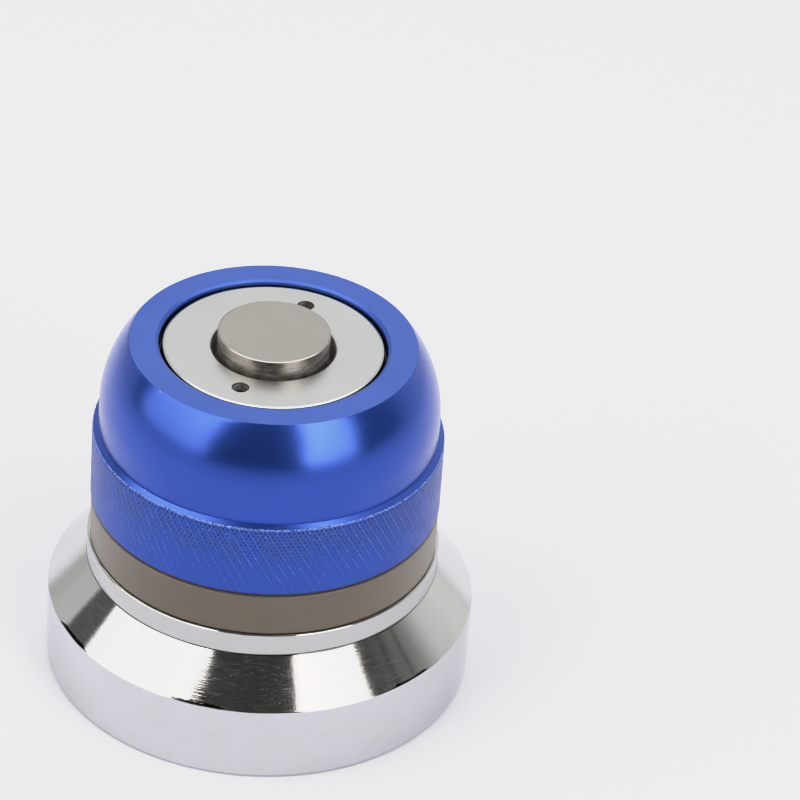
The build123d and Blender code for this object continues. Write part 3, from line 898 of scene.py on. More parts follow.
# %% Light ring
BAND_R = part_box("light_ring")[1].x / MM
BAND_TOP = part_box("joint_washer")[0].z / MM
SPIGOT_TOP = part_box("light_ring")[1].z / MM
RING_IN_R = 17.22
LEDGE_R = 13.42
LEDGE_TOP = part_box("lamp_board")[0].z / MM
LEDGE_T = 2.0
BAND_EDGE = 0.2
BOARD_SCREWS = [(turn, 15.245, 0.8) for turn in (0, 120, 240)]  # as the holder's screws


def light_ring_patches():
    """The band and ledge, with a thread on the spigot that carries the head."""
    lower = [
        (MALE_CREST, COLLAR_TOP), (BAND_R - BAND_EDGE, COLLAR_TOP), (BAND_R, COLLAR_TOP + BAND_EDGE),
        (BAND_R, BAND_TOP - BAND_EDGE), (BAND_R - BAND_EDGE, BAND_TOP), (MALE_ROOT, BAND_TOP),
    ]
    inside = [
        (MALE_ROOT, SPIGOT_TOP), (RING_IN_R, SPIGOT_TOP), (RING_IN_R, LEDGE_TOP), (LEDGE_R, LEDGE_TOP),
        (LEDGE_R, LEDGE_TOP - LEDGE_T), (RING_IN_R, LEDGE_TOP - LEDGE_T), (RING_IN_R, LOWER_THREAD),
        (MALE_CREST - BAND_EDGE, LOWER_THREAD), (MALE_CREST, LOWER_THREAD + BAND_EDGE),
        (MALE_CREST, COLLAR_TOP),
    ]
    patches = [skin([ring(*corner) for corner in outline], closed=False) for outline in (lower, inside)]
    return patches + [thread(BAND_TOP, SPIGOT_TOP, MALE_ROOT, MALE_CREST, MALE_ROOT)]


light_ring = build("smoked_light_ring", *light_ring_patches())
drill(light_ring, [around(*hole, LEDGE_TOP - LEDGE_T - 1, LEDGE_TOP + 1) for hole in BOARD_SCREWS])
finish_faces(light_ring, (smoke, always))
settle(light_ring, "base", "smoked_plastic", "light_ring")

# %% [markdown]
# ## Blue anodising
# The head is aluminium, turned bright, dyed blue and anodised. The dye lies under a clear hard skin, so it
# looks like a blue metal that mirrors softly. How softly depends on the face: the dome was turned with a
# fine tool, the flat top is duller, the bore is dull, and the knurl is broken up by its own cuts. The bore's
# wall above the disc is painted a paler blue, as painted light, and beside the disc it is painted nearly
# black, as painted shade. The dye also scatters some light by itself, so the finish isn't wholly metallic.
# On the dome the clear skin mirrors too, and its mirror image isn't blue. A thin coat over the blue does
# that: it pales the bright parts, and adds so little to the dark ones that they stay navy. Dust in the bath
# left a few pale specks there.

# %% Anodised finishes
DOME_BLUES = ((0.020, 0.065, 0.367), (0.023, 0.071, 0.392))  # each finish wanders between two close colours
DYE_SHARE = 0.08  # share of the light that the dye scatters back instead of the metal under it
DOME_DYE_SHARE = 0.15
DOME_SKIN = 0.42
SKIN_ROUGHNESS = 0.21
FLAT_BLUES = ((0.056, 0.110, 0.405), (0.062, 0.119, 0.425))
# painted light: the bore's wall above the disc is painted a paler blue
BORE_PAINTED_LIGHT_BLUES = ((0.065, 0.14, 0.54), (0.085, 0.18, 0.62))
# painted shade: the bore's wall beside the disc is painted nearly black
GAP_SHADE_BLUES = ((0.008, 0.014, 0.04), (0.016, 0.026, 0.07))
DUST = (0.25, 0.35, 0.7)


def blue_anodised(name, colours, roughness, marks, dust=0.0, dye=DYE_SHARE, **sockets):
    """Anodised aluminium, with the depth of its turning marks in mm and the share of specks that are dust."""
    material, tree, shader = new_finish(name, Metallic=1.0 - dye, **sockets)
    rings = noise(tree, turned_place(tree, along=2.5, across=4.0), detail=4.0, rough=0.6)
    clouds = noise(tree, even_place(tree, 0.09), detail=3.0)
    colour = mix_colours(tree, ease(tree, clouds, 0.3, 0.7), *colours)
    if dust:
        dusty = specks(tree, per_mm=0.6, size=0.05, rarity=1 - dust)
        colour = mix_colours(tree, dusty, colour, DUST)
    feed(tree, shader.inputs["Base Color"], colour)
    feed(tree, shader.inputs["Roughness"], ease(tree, rings, 0.2, 0.8, roughness * 0.92, roughness * 1.1))
    grain = bump(tree, noise(tree, even_place(tree, 7), detail=3.0), 0.001)
    feed(tree, shader.inputs["Normal"], bump(tree, rings, marks, grain))
    return material


dome_blue = blue_anodised(
    "dome_anodised", DOME_BLUES, roughness=0.235, marks=0.0012, dust=0.35, dye=DOME_DYE_SHARE,
    Coat_Weight=DOME_SKIN, Coat_Roughness=SKIN_ROUGHNESS, Specular_IOR_Level=0.0,
)
flat_blue = blue_anodised("flat_anodised", FLAT_BLUES, roughness=0.46, marks=0.0015)
bore_blue = blue_anodised("bore_anodised_painted_light", BORE_PAINTED_LIGHT_BLUES, roughness=0.6, marks=0.002)
gap_shade_blue = blue_anodised("bore_gap_painted_shade", GAP_SHADE_BLUES, roughness=0.6, marks=0.002)
print("made", dome_blue.name, flat_blue.name, bore_blue.name, gap_shade_blue.name)

# %% [markdown]
# ## The head and its knurl
# Rolling two ribbed wheels round the grip pressed a net of fine lines into it, 240 each way, at 30 degrees
# to the axis. One wheel ran a little out of step, so every second line of its family stands higher, and
# those lines catch the light as thin bright strokes. The mesh is laid out so that its own edges run along
# both families: every row of points is half a step round from the row below, so a line always runs from
# point to point and stays straight and crisp. The net is deepest at the top of the grip, where it runs out
# through the bevel and leaves a notched edge.

# %% Knurl rows
GRIP_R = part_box("sleeve")[1].x / MM
GRIP_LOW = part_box("sleeve")[0].z / MM
GRIP_TOP = 35.15
GRIP_EDGE = 0.2
KNURL_LOW = GRIP_LOW + GRIP_EDGE
KNURL_LINES = 240
KNURL_STEPS = 4
KNURL_ROWS = 76
KNURL_DEPTH = (0.028, 0.045)  # at the bottom and near the top of the grip
KNURL_NOTCH = 0.15  # depth in the top edge
KNURL_DEEP_AT = 0.8  # share of the way up at which the net is at its deepest
KNURL_NOTCH_ROWS = 6  # rows over which it deepens to the notches
KNURL_SECOND = 0.55  # how deep the second family's lines lie, as a share of the hollows
KNURL_BETWEEN = 0.75  # the same for every other line of the first family
KNURL_HEAVY = 0.12  # the same for the high lines between those, on average
KNURL_WAVE = (2.4, 0.17)  # how fast that wavers, from line to line and from row to row
KNURL_SPREAD = (0.75, 1.0)  # no two cuts are quite as deep
KNURL_SEED = 20
KNURL_COUNT = KNURL_LINES * KNURL_STEPS
BEVEL_SLOPE = 0.5  # rise of the bevel for each mm inwards


def knurl_depths(row, draw):
    """How deep each point of a row lies under the grip's full radius."""
    column = np.arange(KNURL_COUNT)
    first = column + (row + row % 2) // 2
    second = (row - row % 2) // 2 - column
    height = row / KNURL_ROWS
    shallow, deep = KNURL_DEPTH
    depth = shallow + (deep - shallow) * min(1.0, height / KNURL_DEEP_AT)
    depth += (KNURL_NOTCH - depth) * max(0.0, 1 - (KNURL_ROWS - row) / KNURL_NOTCH_ROWS) ** 2
    share = np.where(second % KNURL_STEPS == 0, KNURL_SECOND, 1.0)
    share = np.where(first % KNURL_STEPS == 0, np.minimum(share, KNURL_BETWEEN), share)
    wave = KNURL_WAVE[0] * (first // (2 * KNURL_STEPS)) + KNURL_WAVE[1] * row
    share = np.where(first % (2 * KNURL_STEPS) == 0, KNURL_HEAVY * (1 + np.sin(wave)), share)
    return depth * share * draw.uniform(*KNURL_SPREAD, KNURL_COUNT)


def knurl_rings():
    """Rows up the grip, each half a step round from the last. The top row lies on the bevel."""
    draw = np.random.default_rng(KNURL_SEED)
    rows = []
    for row in range(KNURL_ROWS + 1):
        depths = knurl_depths(row, draw)
        height = KNURL_LOW + (GRIP_TOP - KNURL_LOW) * row / KNURL_ROWS
        if row == KNURL_ROWS:
            height = height + BEVEL_SLOPE * depths
        rows.append(ring(GRIP_R - depths, height, KNURL_COUNT, row % 2 / 2))
    return rows


KNURL_ROW_H = (GRIP_TOP - KNURL_LOW) / KNURL_ROWS
lean = np.degrees(np.arctan(pi * GRIP_R / KNURL_COUNT / KNURL_ROW_H))
print(f"knurl: {KNURL_ROWS} rows of {KNURL_COUNT} points, lines at {lean:.1f} degrees to the axis")

# %% [markdown]
# The tops of the knurl's heavy lines are painted pale in places, partly wear from fingers and partly a
# painted highlight, and the hollows are painted dark as painted shade, most of all near the top edge, where
# they are deepest. The finish finds the lines again from the angle round the axis and the height, with the
# same counts as the mesh.

# %% Knurl finish
KNURL_BLUE = (0.038, 0.084, 0.375)
KNURL_DULL = (0.048, 0.088, 0.31)
# painted highlight, partly wear: the pale tops of the heavy lines
KNURL_WORN_HIGHLIGHT = (0.15, 0.24, 0.68)
# painted shade in the hollows
KNURL_HOLLOW_SHADE = (0.010, 0.022, 0.12)
# pale specks: bare metal at burrs, and painted glints
KNURL_BARE_AND_GLINT = (0.34, 0.42, 0.72)
# painted highlight along the notched top edge
KNURL_EDGE_HIGHLIGHT = (0.24, 0.34, 0.74)
SHADE_AND_DULL_RISE = (2.5, 8.5)  # mm above the knurl's foot between which the painted shade in the hollows and the dull patches come in
DEEPEST_RISE = (8.4, 9.2)
WORN_HIGHLIGHT_RISE = (0.5, 4.0)
SPARKS_RISE = (6.5, 9.5)
EDGE_HIGHLIGHT_RISE = (GRIP_TOP - KNURL_LOW - 0.26, GRIP_TOP - KNURL_LOW - 0.08)
BESIDE_LINES = (0.12, 0.42)  # how far from the lines, in lines, a hollow's painted shade begins and is at its darkest


def from_lines(tree, angle, height, direction, spacing):
    """How far a place is from the nearest line of a family, in lines. Spacing 2 is every second line."""
    climb = 1 / (2 * KNURL_STEPS * KNURL_ROW_H * MM)
    phase = total(tree, (angle, KNURL_LINES / (2 * pi) / spacing), (height, direction * climb / spacing))
    return calc(tree, "MULTIPLY", calc(tree, "PINGPONG", phase, 0.5), float(spacing))


def rise(tree, height, limits, low=0.0):
    """Goes from low to 1 between two heights above the knurl's foot, given in mm."""
    return ease(tree, height, limits[0] * MM, limits[1] * MM, low, 1.0)


def knurled_anodised():
    """Blue: painted shade in hollows, more higher up; painted highlights on worn lines and the ragged edge;
    bare, glinting specks.
    """
    material, tree, shader = new_finish("knurl_anodised", Metallic=1.0)
    x, y, z = split_place(tree)
    angle = calc(tree, "ARCTAN2", y, x)
    height = calc(tree, "SUBTRACT", z, KNURL_LOW * MM)
    patches = noise(tree, even_place(tree, 0.35), detail=4.0, rough=0.7)
    fine = noise(tree, even_place(tree, 3.2), detail=2.0)
    heavy, first, second = (from_lines(tree, angle, height, *which) for which in ((1, 2), (1, 1), (-1, 1)))
    high = rise(tree, height, SHADE_AND_DULL_RISE, 0.12)
    # painted shade: the hollows between the lines are painted darker, most near the top edge
    between = calc(tree, "MULTIPLY", ease(tree, first, *BESIDE_LINES), ease(tree, second, *BESIDE_LINES))
    dark = calc(tree, "MULTIPLY", calc(tree, "MULTIPLY", between, high), ease(tree, fine, 0.35, 0.6))
    deepest = calc(tree, "MULTIPLY", rise(tree, height, DEEPEST_RISE), ease(tree, fine, 0.25, 0.45))
    dark = calc(tree, "MAXIMUM", dark, calc(tree, "MULTIPLY", between, deepest))
    broad = noise(tree, even_place(tree, 0.22), detail=2.0)
    crossed = ease(tree, second, 0.08, 0.36, 0.4, 1.0)
    dashes = calc(tree, "MULTIPLY", crossed, ease(tree, broad, 0.36, 0.58, 0.3, 1.0))
    dashes = calc(tree, "MULTIPLY", dashes, rise(tree, height, WORN_HIGHLIGHT_RISE, 0.35))
    # painted highlight on the heavy lines, partly wear from fingers
    worn_highlight = calc(tree, "MULTIPLY", ease(tree, heavy, 0.24, 0.0), ease(tree, fine, 0.42, 0.66, 0.1, 0.9))
    worn_highlight = calc(tree, "MULTIPLY", worn_highlight, dashes)
    # painted highlight along the notched top edge
    edge = calc(tree, "MULTIPLY", rise(tree, height, EDGE_HIGHLIGHT_RISE), ease(tree, fine, 0.38, 0.56))
    # pale specks: bare metal at burrs, and painted glints
    sparks = specks(tree, per_mm=2.4, size=0.16, rarity=0.86)
    sparks = calc(tree, "MULTIPLY", sparks, rise(tree, height, SPARKS_RISE))
    dull = calc(tree, "MULTIPLY", high, ease(tree, patches, 0.35, 0.6))
    colour = mix_colours(tree, dull, KNURL_BLUE, KNURL_DULL)
    colour = mix_colours(tree, dark, colour, KNURL_HOLLOW_SHADE)
    colour = mix_colours(tree, worn_highlight, colour, KNURL_WORN_HIGHLIGHT)
    colour = mix_colours(tree, edge, colour, KNURL_EDGE_HIGHLIGHT)
    feed(tree, shader.inputs["Base Color"], mix_colours(tree, sparks, colour, KNURL_BARE_AND_GLINT))
    feed(tree, shader.inputs["Roughness"], ease(tree, patches, 0.3, 0.7, 0.32, 0.42))
    feed(tree, shader.inputs["Normal"], bump(tree, fine, 0.012))
    return material


knurl_blue = knurled_anodised()
print("made", knurl_blue.name)

# %% [markdown]
# The rest of the head follows its outline: the bevel, a short upright wall that runs into an arc of 15 mm,
# the flat top, the bore for the cover disc, the chamber for the button's flange and spring, the web, and
# the threaded socket underneath. Beside the disc the bore's wall is painted nearly black, as painted shade
# in the narrow gap.

# %% Head
DOME_FOOT = 35.55
DOME_FOOT_R = 21.95
DOME_R = 15.0
FLAT_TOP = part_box("sleeve")[1].z / MM
FLAT_R = 18.45
DISC_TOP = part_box("cover_disc")[1].z / MM
BORE_R = 14.7
BORE_MOUTH = ((0.35, 0.0), (0.06, 0.10), (0.0, 0.2))  # outwards and down, where the bore meets the flat
BORE_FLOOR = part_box("cover_disc")[0].z / MM
OPEN_WALL = 0.15  # how far below the disc's face the bore still gets light
CHAMBER_R = 12.5
WEB_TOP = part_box("main_spring")[0].z / MM
BUSH_R = 4.5
WEB_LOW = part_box("contact_spring")[1].z / MM
RUNOUT_R = 20.5
RUNOUT_LOW = WEB_LOW - 1.2
SOCKET_MOUTH = 0.3
DOME_STEPS = 26
EDGE_BREAK = 0.05
FLAT_SLOPE = 0.9  # the flat top's faces look up by more than this share
ON_WALL = 0.1  # how close in mm to a wall's radius its faces are
A_HAIR = 0.01  # the same for the height of a level face


def dome_outline():
    """The upright wall, then an arc that starts upright and ends at the flat top's edge."""
    centre_r = DOME_FOOT_R - DOME_R
    end = np.arccos((FLAT_R - centre_r) / DOME_R)
    centre_z = FLAT_TOP - DOME_R * sin(end)
    wall = [(DOME_FOOT_R, DOME_FOOT), (DOME_FOOT_R, (DOME_FOOT + centre_z) / 2)]
    turns = [end * step / DOME_STEPS for step in range(DOME_STEPS + 1)]
    return wall + [(centre_r + DOME_R * cos(turn), centre_z + DOME_R * sin(turn)) for turn in turns]


def head_patches():
    """The head as one skin, and the thread in its socket."""
    dome = dome_outline()
    edge = rounded(dome[-2], dome[-1], (BORE_R, FLAT_TOP), EDGE_BREAK, 2)
    mouth_edge = [(BORE_R + outwards, FLAT_TOP - down) for outwards, down in BORE_MOUTH]
    outside = [ring(FEMALE_ROOT + SOCKET_MOUTH, GRIP_LOW), ring(GRIP_R - GRIP_EDGE, GRIP_LOW)]
    outside += knurl_rings() + [ring(*corner) for corner in dome[:-1] + edge + mouth_edge]
    inside = [
        (BORE_R, DISC_TOP - OPEN_WALL), (BORE_R, BORE_FLOOR),
        (CHAMBER_R, BORE_FLOOR), (CHAMBER_R, WEB_TOP), (BUSH_R, WEB_TOP), (BUSH_R, WEB_LOW),
        (RUNOUT_R, WEB_LOW), (RUNOUT_R, RUNOUT_LOW), (FEMALE_ROOT, RUNOUT_LOW),
    ]
    mouth = [(FEMALE_ROOT, GRIP_LOW + SOCKET_MOUTH), (FEMALE_ROOT + SOCKET_MOUTH, GRIP_LOW)]
    whole = skin(outside + [ring(*corner) for corner in inside], closed=False)
    socket = thread(GRIP_LOW + SOCKET_MOUTH, RUNOUT_LOW, FEMALE_CREST, FEMALE_ROOT, FEMALE_ROOT)
    return whole, skin([ring(*corner) for corner in mouth], closed=False), socket


def on_knurl(radius, height, slope):
    """True on the grip's cut rows."""
    return radius > DOME_FOOT_R and GRIP_LOW < height < GRIP_TOP + 2 * A_HAIR and abs(slope) < FLAT_SLOPE


def on_flat(radius, height, slope):
    """True on the flat top."""
    return height > FLAT_TOP - A_HAIR and slope > FLAT_SLOPE


def in_the_mouth(radius, height, slope):
    """True on the bore's wall above the cover disc, which is painted a paler blue as painted light."""
    return abs(radius - BORE_R) < ON_WALL and DISC_TOP - OPEN_WALL < height < FLAT_TOP - ON_WALL


def in_the_bore(radius, height, slope):
    """True on the wall beside the disc, in a narrow gap, which is painted nearly black as painted shade."""
    return abs(radius - BORE_R) < ON_WALL and BORE_FLOOR < height < DISC_TOP - OPEN_WALL


head = build("anodised_head", *head_patches())
finish_faces(head, (flat_blue, on_flat), (knurl_blue, on_knurl), (bore_blue, in_the_mouth),
             (gap_shade_blue, in_the_bore), (dome_blue, always))
settle(head, "head", "blue_anodised", "sleeve")

# %% [markdown]
# ## Ground steel for the disc and the button
# The cover disc and the button are hardened steel. Their faces are ground, which leaves a fine grain with
# no direction that stands out, and their sides are turned. The button's face is a little darker and warmer
# than the disc, because it was ground finer and handled more.

# %% Steel finishes
DISC_STEELS = ((0.490, 0.504, 0.500), (0.520, 0.534, 0.530))
BUTTON_STEELS = ((0.332, 0.323, 0.307), (0.354, 0.345, 0.328))
SIDE_STEELS = ((0.145, 0.135, 0.128), (0.27, 0.253, 0.243))
# painted light: the button's side inside the disc's hole is painted paler
SUNK_STEELS = ((0.22, 0.21, 0.20), (0.35, 0.335, 0.32))
HOLE_STEELS = ((0.42, 0.41, 0.40), (0.60, 0.59, 0.57))
# painted light: the spanner holes' walls are painted paler
PIN_LIGHT_STEELS = ((0.50, 0.49, 0.47), (0.72, 0.70, 0.67))
# painted shade: the disc's side in the narrow gap is painted dark
GAP_SHADE_STEELS = ((0.04, 0.04, 0.04), (0.10, 0.10, 0.10))
# painted shade: the spanner holes' edges and depths are painted dark
PIN_SHADE_STEELS = ((0.01, 0.01, 0.01), (0.03, 0.03, 0.03))


def ground_steel(name, colours, roughness, grain_mm):
    """A ground face: fine grain in colour, roughness and height."""
    material, tree, shader = new_finish(name, Metallic=1.0)
    grain = noise(tree, scaled_place(tree, 5.0, 2.2, 5.0), detail=5.0, rough=0.65)
    clouds = noise(tree, even_place(tree, 0.15), detail=3.0)
    share = total(tree, (grain, 0.6), (clouds, 0.4))
    feed(tree, shader.inputs["Base Color"], mix_colours(tree, ease(tree, share, 0.35, 0.65), *colours))
    feed(tree, shader.inputs["Roughness"], ease(tree, grain, 0.25, 0.75, roughness * 0.88, roughness * 1.12))
    feed(tree, shader.inputs["Normal"], bump(tree, grain, grain_mm))
    return material


def turned_steel(name, colours, roughness, marks):
    """A turned face: rings in colour, roughness and height."""
    material, tree, shader = new_finish(name, Metallic=1.0)
    rings = noise(tree, turned_place(tree, along=4.0, across=5.0), detail=4.0, rough=0.6)
    stains = noise(tree, scaled_place(tree, 0.7, 0.7, 1.6), detail=4.0)
    share = total(tree, (rings, 0.5), (stains, 0.5))
    feed(tree, shader.inputs["Base Color"], mix_colours(tree, ease(tree, share, 0.35, 0.65), *colours))
    feed(tree, shader.inputs["Roughness"], ease(tree, stains, 0.3, 0.7, roughness * 0.85, roughness * 1.15))
    feed(tree, shader.inputs["Normal"], bump(tree, rings, marks))
    return material


disc_face = ground_steel("disc_ground", DISC_STEELS, roughness=0.32, grain_mm=0.0012)
disc_side = turned_steel("disc_turned", DISC_STEELS, roughness=0.2, marks=0.002)
hole_side = turned_steel("hole_turned", HOLE_STEELS, roughness=0.6, marks=0.003)
pin_side = turned_steel("pin_hole_painted_light", PIN_LIGHT_STEELS, roughness=0.46, marks=0.003)
groove_side = turned_steel("groove_painted_shade", GAP_SHADE_STEELS, roughness=0.4, marks=0.003)
pin_hole_shade = turned_steel("pin_hole_painted_shade", PIN_SHADE_STEELS, roughness=0.5, marks=0.002)
button_face = ground_steel("button_ground", BUTTON_STEELS, roughness=0.35, grain_mm=0.0012)
button_side = turned_steel("button_turned", SIDE_STEELS, roughness=0.30, marks=0.002)
button_sunk = turned_steel("button_sunk_side_painted_light", SUNK_STEELS, roughness=0.5, marks=0.002)
button_edge = turned_steel("button_edge_ground", BUTTON_STEELS, roughness=0.14, marks=0.001)
steels = (disc_face, disc_side, hole_side, pin_side, groove_side, pin_hole_shade)
steels += (button_face, button_side, button_sunk, button_edge)
print("made", ", ".join(steel.name for steel in steels))

# %% [markdown]
# ## The cover disc
# The disc screws into the head's bore and holds the button in. A pin spanner fits its two small holes. It
# is a plain washer with a broken edge, so rings make the body and a boolean cuts the holes. The holes'
# broken edges and their depths are painted dark as painted shade, their walls between are painted paler
# as painted light, and the disc's side in the gap between the disc and the bore is painted dark as painted
# shade.

# %% Cover disc
DISC_LOW = BORE_FLOOR
DISC_THREAD_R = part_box("cover_disc")[1].x / MM
DISC_R = 14.1
DISC_RIM = 2.0
DISC_HOLE_R = 8.0
DISC_EDGE = ((0.24, 0.0), (0.0, 0.08))  # inwards and down, round its face
INNER_EDGE = 0.6  # the edge of its hole is narrower, by this factor
PIN_CIRCLE_R = 10.63
PIN_HOLE_R = 0.985
PIN_REACH = 1.2 * PIN_HOLE_R  # from the middle of a hole to beyond its chamfer
PIN_DEPTH = 3.0
PIN_MOUTH = 0.13
SHADE_DEPTH = 1.1  # depth below the face from which the holes are painted dark, as painted shade
PIN_TURN = 248.7
LEVEL = 0.999  # level faces look up by more than this share
BROKEN = 0.2  # mm below the face, under all its broken edges
BELOW = 0.001  # mm that the middle of any sloping face lies below the face


def disc_rings():
    """The disc's outline, with its outer and inner edges eased."""
    outline = [(DISC_HOLE_R, DISC_LOW), (DISC_THREAD_R, DISC_LOW), (DISC_THREAD_R, DISC_TOP - DISC_RIM)]
    outline += [(DISC_R, DISC_TOP - DISC_RIM)]
    outline += [(DISC_R - inwards, DISC_TOP - down) for inwards, down in reversed(DISC_EDGE)]
    outline += [(DISC_HOLE_R + INNER_EDGE * inwards, DISC_TOP - down) for inwards, down in DISC_EDGE]
    return [ring(*corner) for corner in outline]


def faces_up(radius, height, slope):
    """True on faces that look straight up."""
    return slope > LEVEL


def in_the_hole(radius, height, slope):
    """True on the wall of the button's hole, under its broken edge."""
    return radius < DISC_HOLE_R + ON_WALL and DISC_LOW < height < DISC_TOP - BROKEN


def in_a_pin_hole(radius, height, slope):
    """True on the walls and floors of the spanner holes, which are painted paler as painted light."""
    return abs(radius - PIN_CIRCLE_R) < PIN_REACH and DISC_LOW < height < DISC_TOP - BELOW


def in_the_pin_hole_shade(radius, height, slope):
    """True on the broken edges of the spanner holes and deep down in them, which are painted dark as painted
    shade.
    """
    at_the_edge = DISC_TOP - PIN_MOUTH - A_HAIR < height < DISC_TOP - BELOW
    deep = DISC_LOW < height < DISC_TOP - SHADE_DEPTH
    return abs(radius - PIN_CIRCLE_R) < PIN_REACH and (at_the_edge or deep)


def in_the_groove(radius, height, slope):
    """True on the disc's outer side, which stands in the narrow gap inside the bore and is painted dark as
    painted shade.
    """
    return radius > PIN_CIRCLE_R + PIN_REACH and height < DISC_TOP - BROKEN


disc = build("cover_disc_steel", skin(disc_rings()))
pin_hole = (PIN_CIRCLE_R, PIN_HOLE_R, DISC_TOP - PIN_DEPTH, DISC_TOP + 1)
pin_holes = [around(turn, *pin_hole) for turn in (PIN_TURN, PIN_TURN + 180)]
drill(disc, pin_holes, mouth=PIN_MOUTH, face=DISC_TOP, marks=(SHADE_DEPTH,))
finish_faces(disc, (pin_hole_shade, in_the_pin_hole_shade), (pin_side, in_a_pin_hole), (disc_face, faces_up),
             (hole_side, in_the_hole), (groove_side, in_the_groove), (disc_side, always))
settle(disc, "head", "ground_steel", "cover_disc")

# %% [markdown]
# ## The button
# The tool touches this button. Its flange bears up against the disc, its boss centres the spring, and its
# stem runs in the bronze bush. The bright line round its face is a small chamfer, ground flatter than the
# usual 45 degrees, so it mirrors the lamp overhead.

# %% Button
BUTTON_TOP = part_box("button")[1].z / MM
BUTTON_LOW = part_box("button")[0].z / MM
BUTTON_R = 7.2
BUTTON_EDGE = 0.2
SUNK_LIGHT_TOP = 0.4  # height above the disc up to which the side is painted paler, as painted light
FACE_CHAMFER = (0.17, 0.057)  # inwards and down
FLANGE_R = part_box("button")[1].x / MM
FLANGE_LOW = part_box("main_spring")[1].z / MM
BOSS_R = 6.2
BOSS_H = 1.0
STEM_R = 3.0


def button_rings():
    """The button's outline from the foot of its stem to the middle of its face."""
    outline = [(0, BUTTON_LOW), (STEM_R - BUTTON_EDGE, BUTTON_LOW), (STEM_R, BUTTON_LOW + BUTTON_EDGE)]
    outline += [(STEM_R, FLANGE_LOW - BOSS_H), (BOSS_R, FLANGE_LOW - BOSS_H), (BOSS_R, FLANGE_LOW)]
    outline += [(FLANGE_R, FLANGE_LOW), (FLANGE_R, DISC_LOW), (BUTTON_R, DISC_LOW)]
    inwards, down = FACE_CHAMFER
    outline += [(BUTTON_R, DISC_TOP + SUNK_LIGHT_TOP), (BUTTON_R, BUTTON_TOP - down)]
    outline += [(BUTTON_R - inwards, BUTTON_TOP), (0, BUTTON_TOP)]
    return [ring(*corner) for corner in outline]


def on_chamfer(radius, height, slope):
    """True on the narrow chamfer round the face."""
    return height > BUTTON_TOP - FACE_CHAMFER[1]


def below_the_face(radius, height, slope):
    """True on the part of the side that stands in the disc's hole, which is painted paler as painted light.
    """
    return abs(radius - BUTTON_R) < ON_WALL and DISC_LOW < height < DISC_TOP + SUNK_LIGHT_TOP


button = build("button_steel", skin(button_rings()))
finish_faces(button, (button_face, faces_up), (button_edge, on_chamfer), (button_sunk, below_the_face),
             (button_side, always))
settle(button, "button", "ground_steel", "button")

# %% [markdown]
# ## The springs
# Both springs are round wire wound round the axis with their ends ground flat. The imported solids have many
# more faces than a spring needs, so each gets a lighter tube along the same helix. The main spring gets a
# mesh of its own.

# %% Springs
WIRE_SIDES = 12
STEPS_A_TURN = 48
MAIN_SPRING = (7.0, 0.5)  # radius of its helix and of its wire, in mm
MAIN_TURNS = 4
CONTACT_SPRING = (4.85, 0.25)
CONTACT_TURNS = 6
CONTACT_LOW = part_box("contact_spring")[0].z / MM
SPRING_STEELS = ((0.30, 0.29, 0.28), (0.46, 0.45, 0.43))


def wire_spring(name, middle_r, wire_r, low, high, turns):
    """A tube along a helix, its ends ground flat at two heights."""
    steps = STEPS_A_TURN * turns
    points, faces = [], []
    for step in range(steps + 1):
        angle = 2 * pi * step / STEPS_A_TURN
        for side in range(WIRE_SIDES):
            lean = 2 * pi * side / WIRE_SIDES
            radius = middle_r + wire_r * cos(lean)
            height = low + (high - low) * step / steps + wire_r * sin(lean)
            points.append((radius * cos(angle), radius * sin(angle), min(max(height, low), high)))
    for step in range(steps):
        for side in range(WIRE_SIDES):
            after = (side + 1) % WIRE_SIDES
            start = step * WIRE_SIDES
            faces.append((start + side, start + after, start + WIRE_SIDES + after, start + WIRE_SIDES + side))
    faces.append(tuple(range(WIRE_SIDES)))
    faces.append(tuple(steps * WIRE_SIDES + side for side in range(WIRE_SIDES)))
    return build(name, (points, faces))


def spring_steel():
    """Drawn spring wire, oiled and faintly streaked."""
    material, tree, shader = new_finish("spring_wire", Metallic=1.0)
    streaks = noise(tree, turned_place(tree, along=3.0, across=9.0), detail=3.0)
    feed(tree, shader.inputs["Base Color"], mix_colours(tree, streaks, *SPRING_STEELS))
    feed(tree, shader.inputs["Roughness"], ease(tree, streaks, 0.3, 0.7, 0.2, 0.36))
    feed(tree, shader.inputs["Normal"], bump(tree, streaks, 0.002))
    return material


spring_wire = spring_steel()
main_spring = wire_spring("main_spring_wire", *MAIN_SPRING, WEB_TOP, FLANGE_LOW, MAIN_TURNS)
finish_faces(main_spring, (spring_wire, always))
settle(main_spring, "head", "spring_steel", "main_spring")
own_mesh(main_spring)
contact_spring = wire_spring("contact_spring_wire", *CONTACT_SPRING, CONTACT_LOW, WEB_LOW, CONTACT_TURNS)
finish_faces(contact_spring, (spring_wire, always))
settle(contact_spring, "head", "spring_steel", "contact_spring")

# %% [markdown]
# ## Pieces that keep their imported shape
# Inside and underneath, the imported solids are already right: the magnet, the holder with its cells and
# contacts, the board with its lamps, the screws, the seal, the washer and the bush. They only need
# finishes, and each gets a recipe with its own grain, wear and roughness.

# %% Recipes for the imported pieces
TRACK_PITCH = 1.6  # mm from one copper track to the next
BOARD_GREENS = ((0.008, 0.075, 0.028), (0.012, 0.10, 0.038))
TRACK_GREEN = (0.03, 0.19, 0.07)


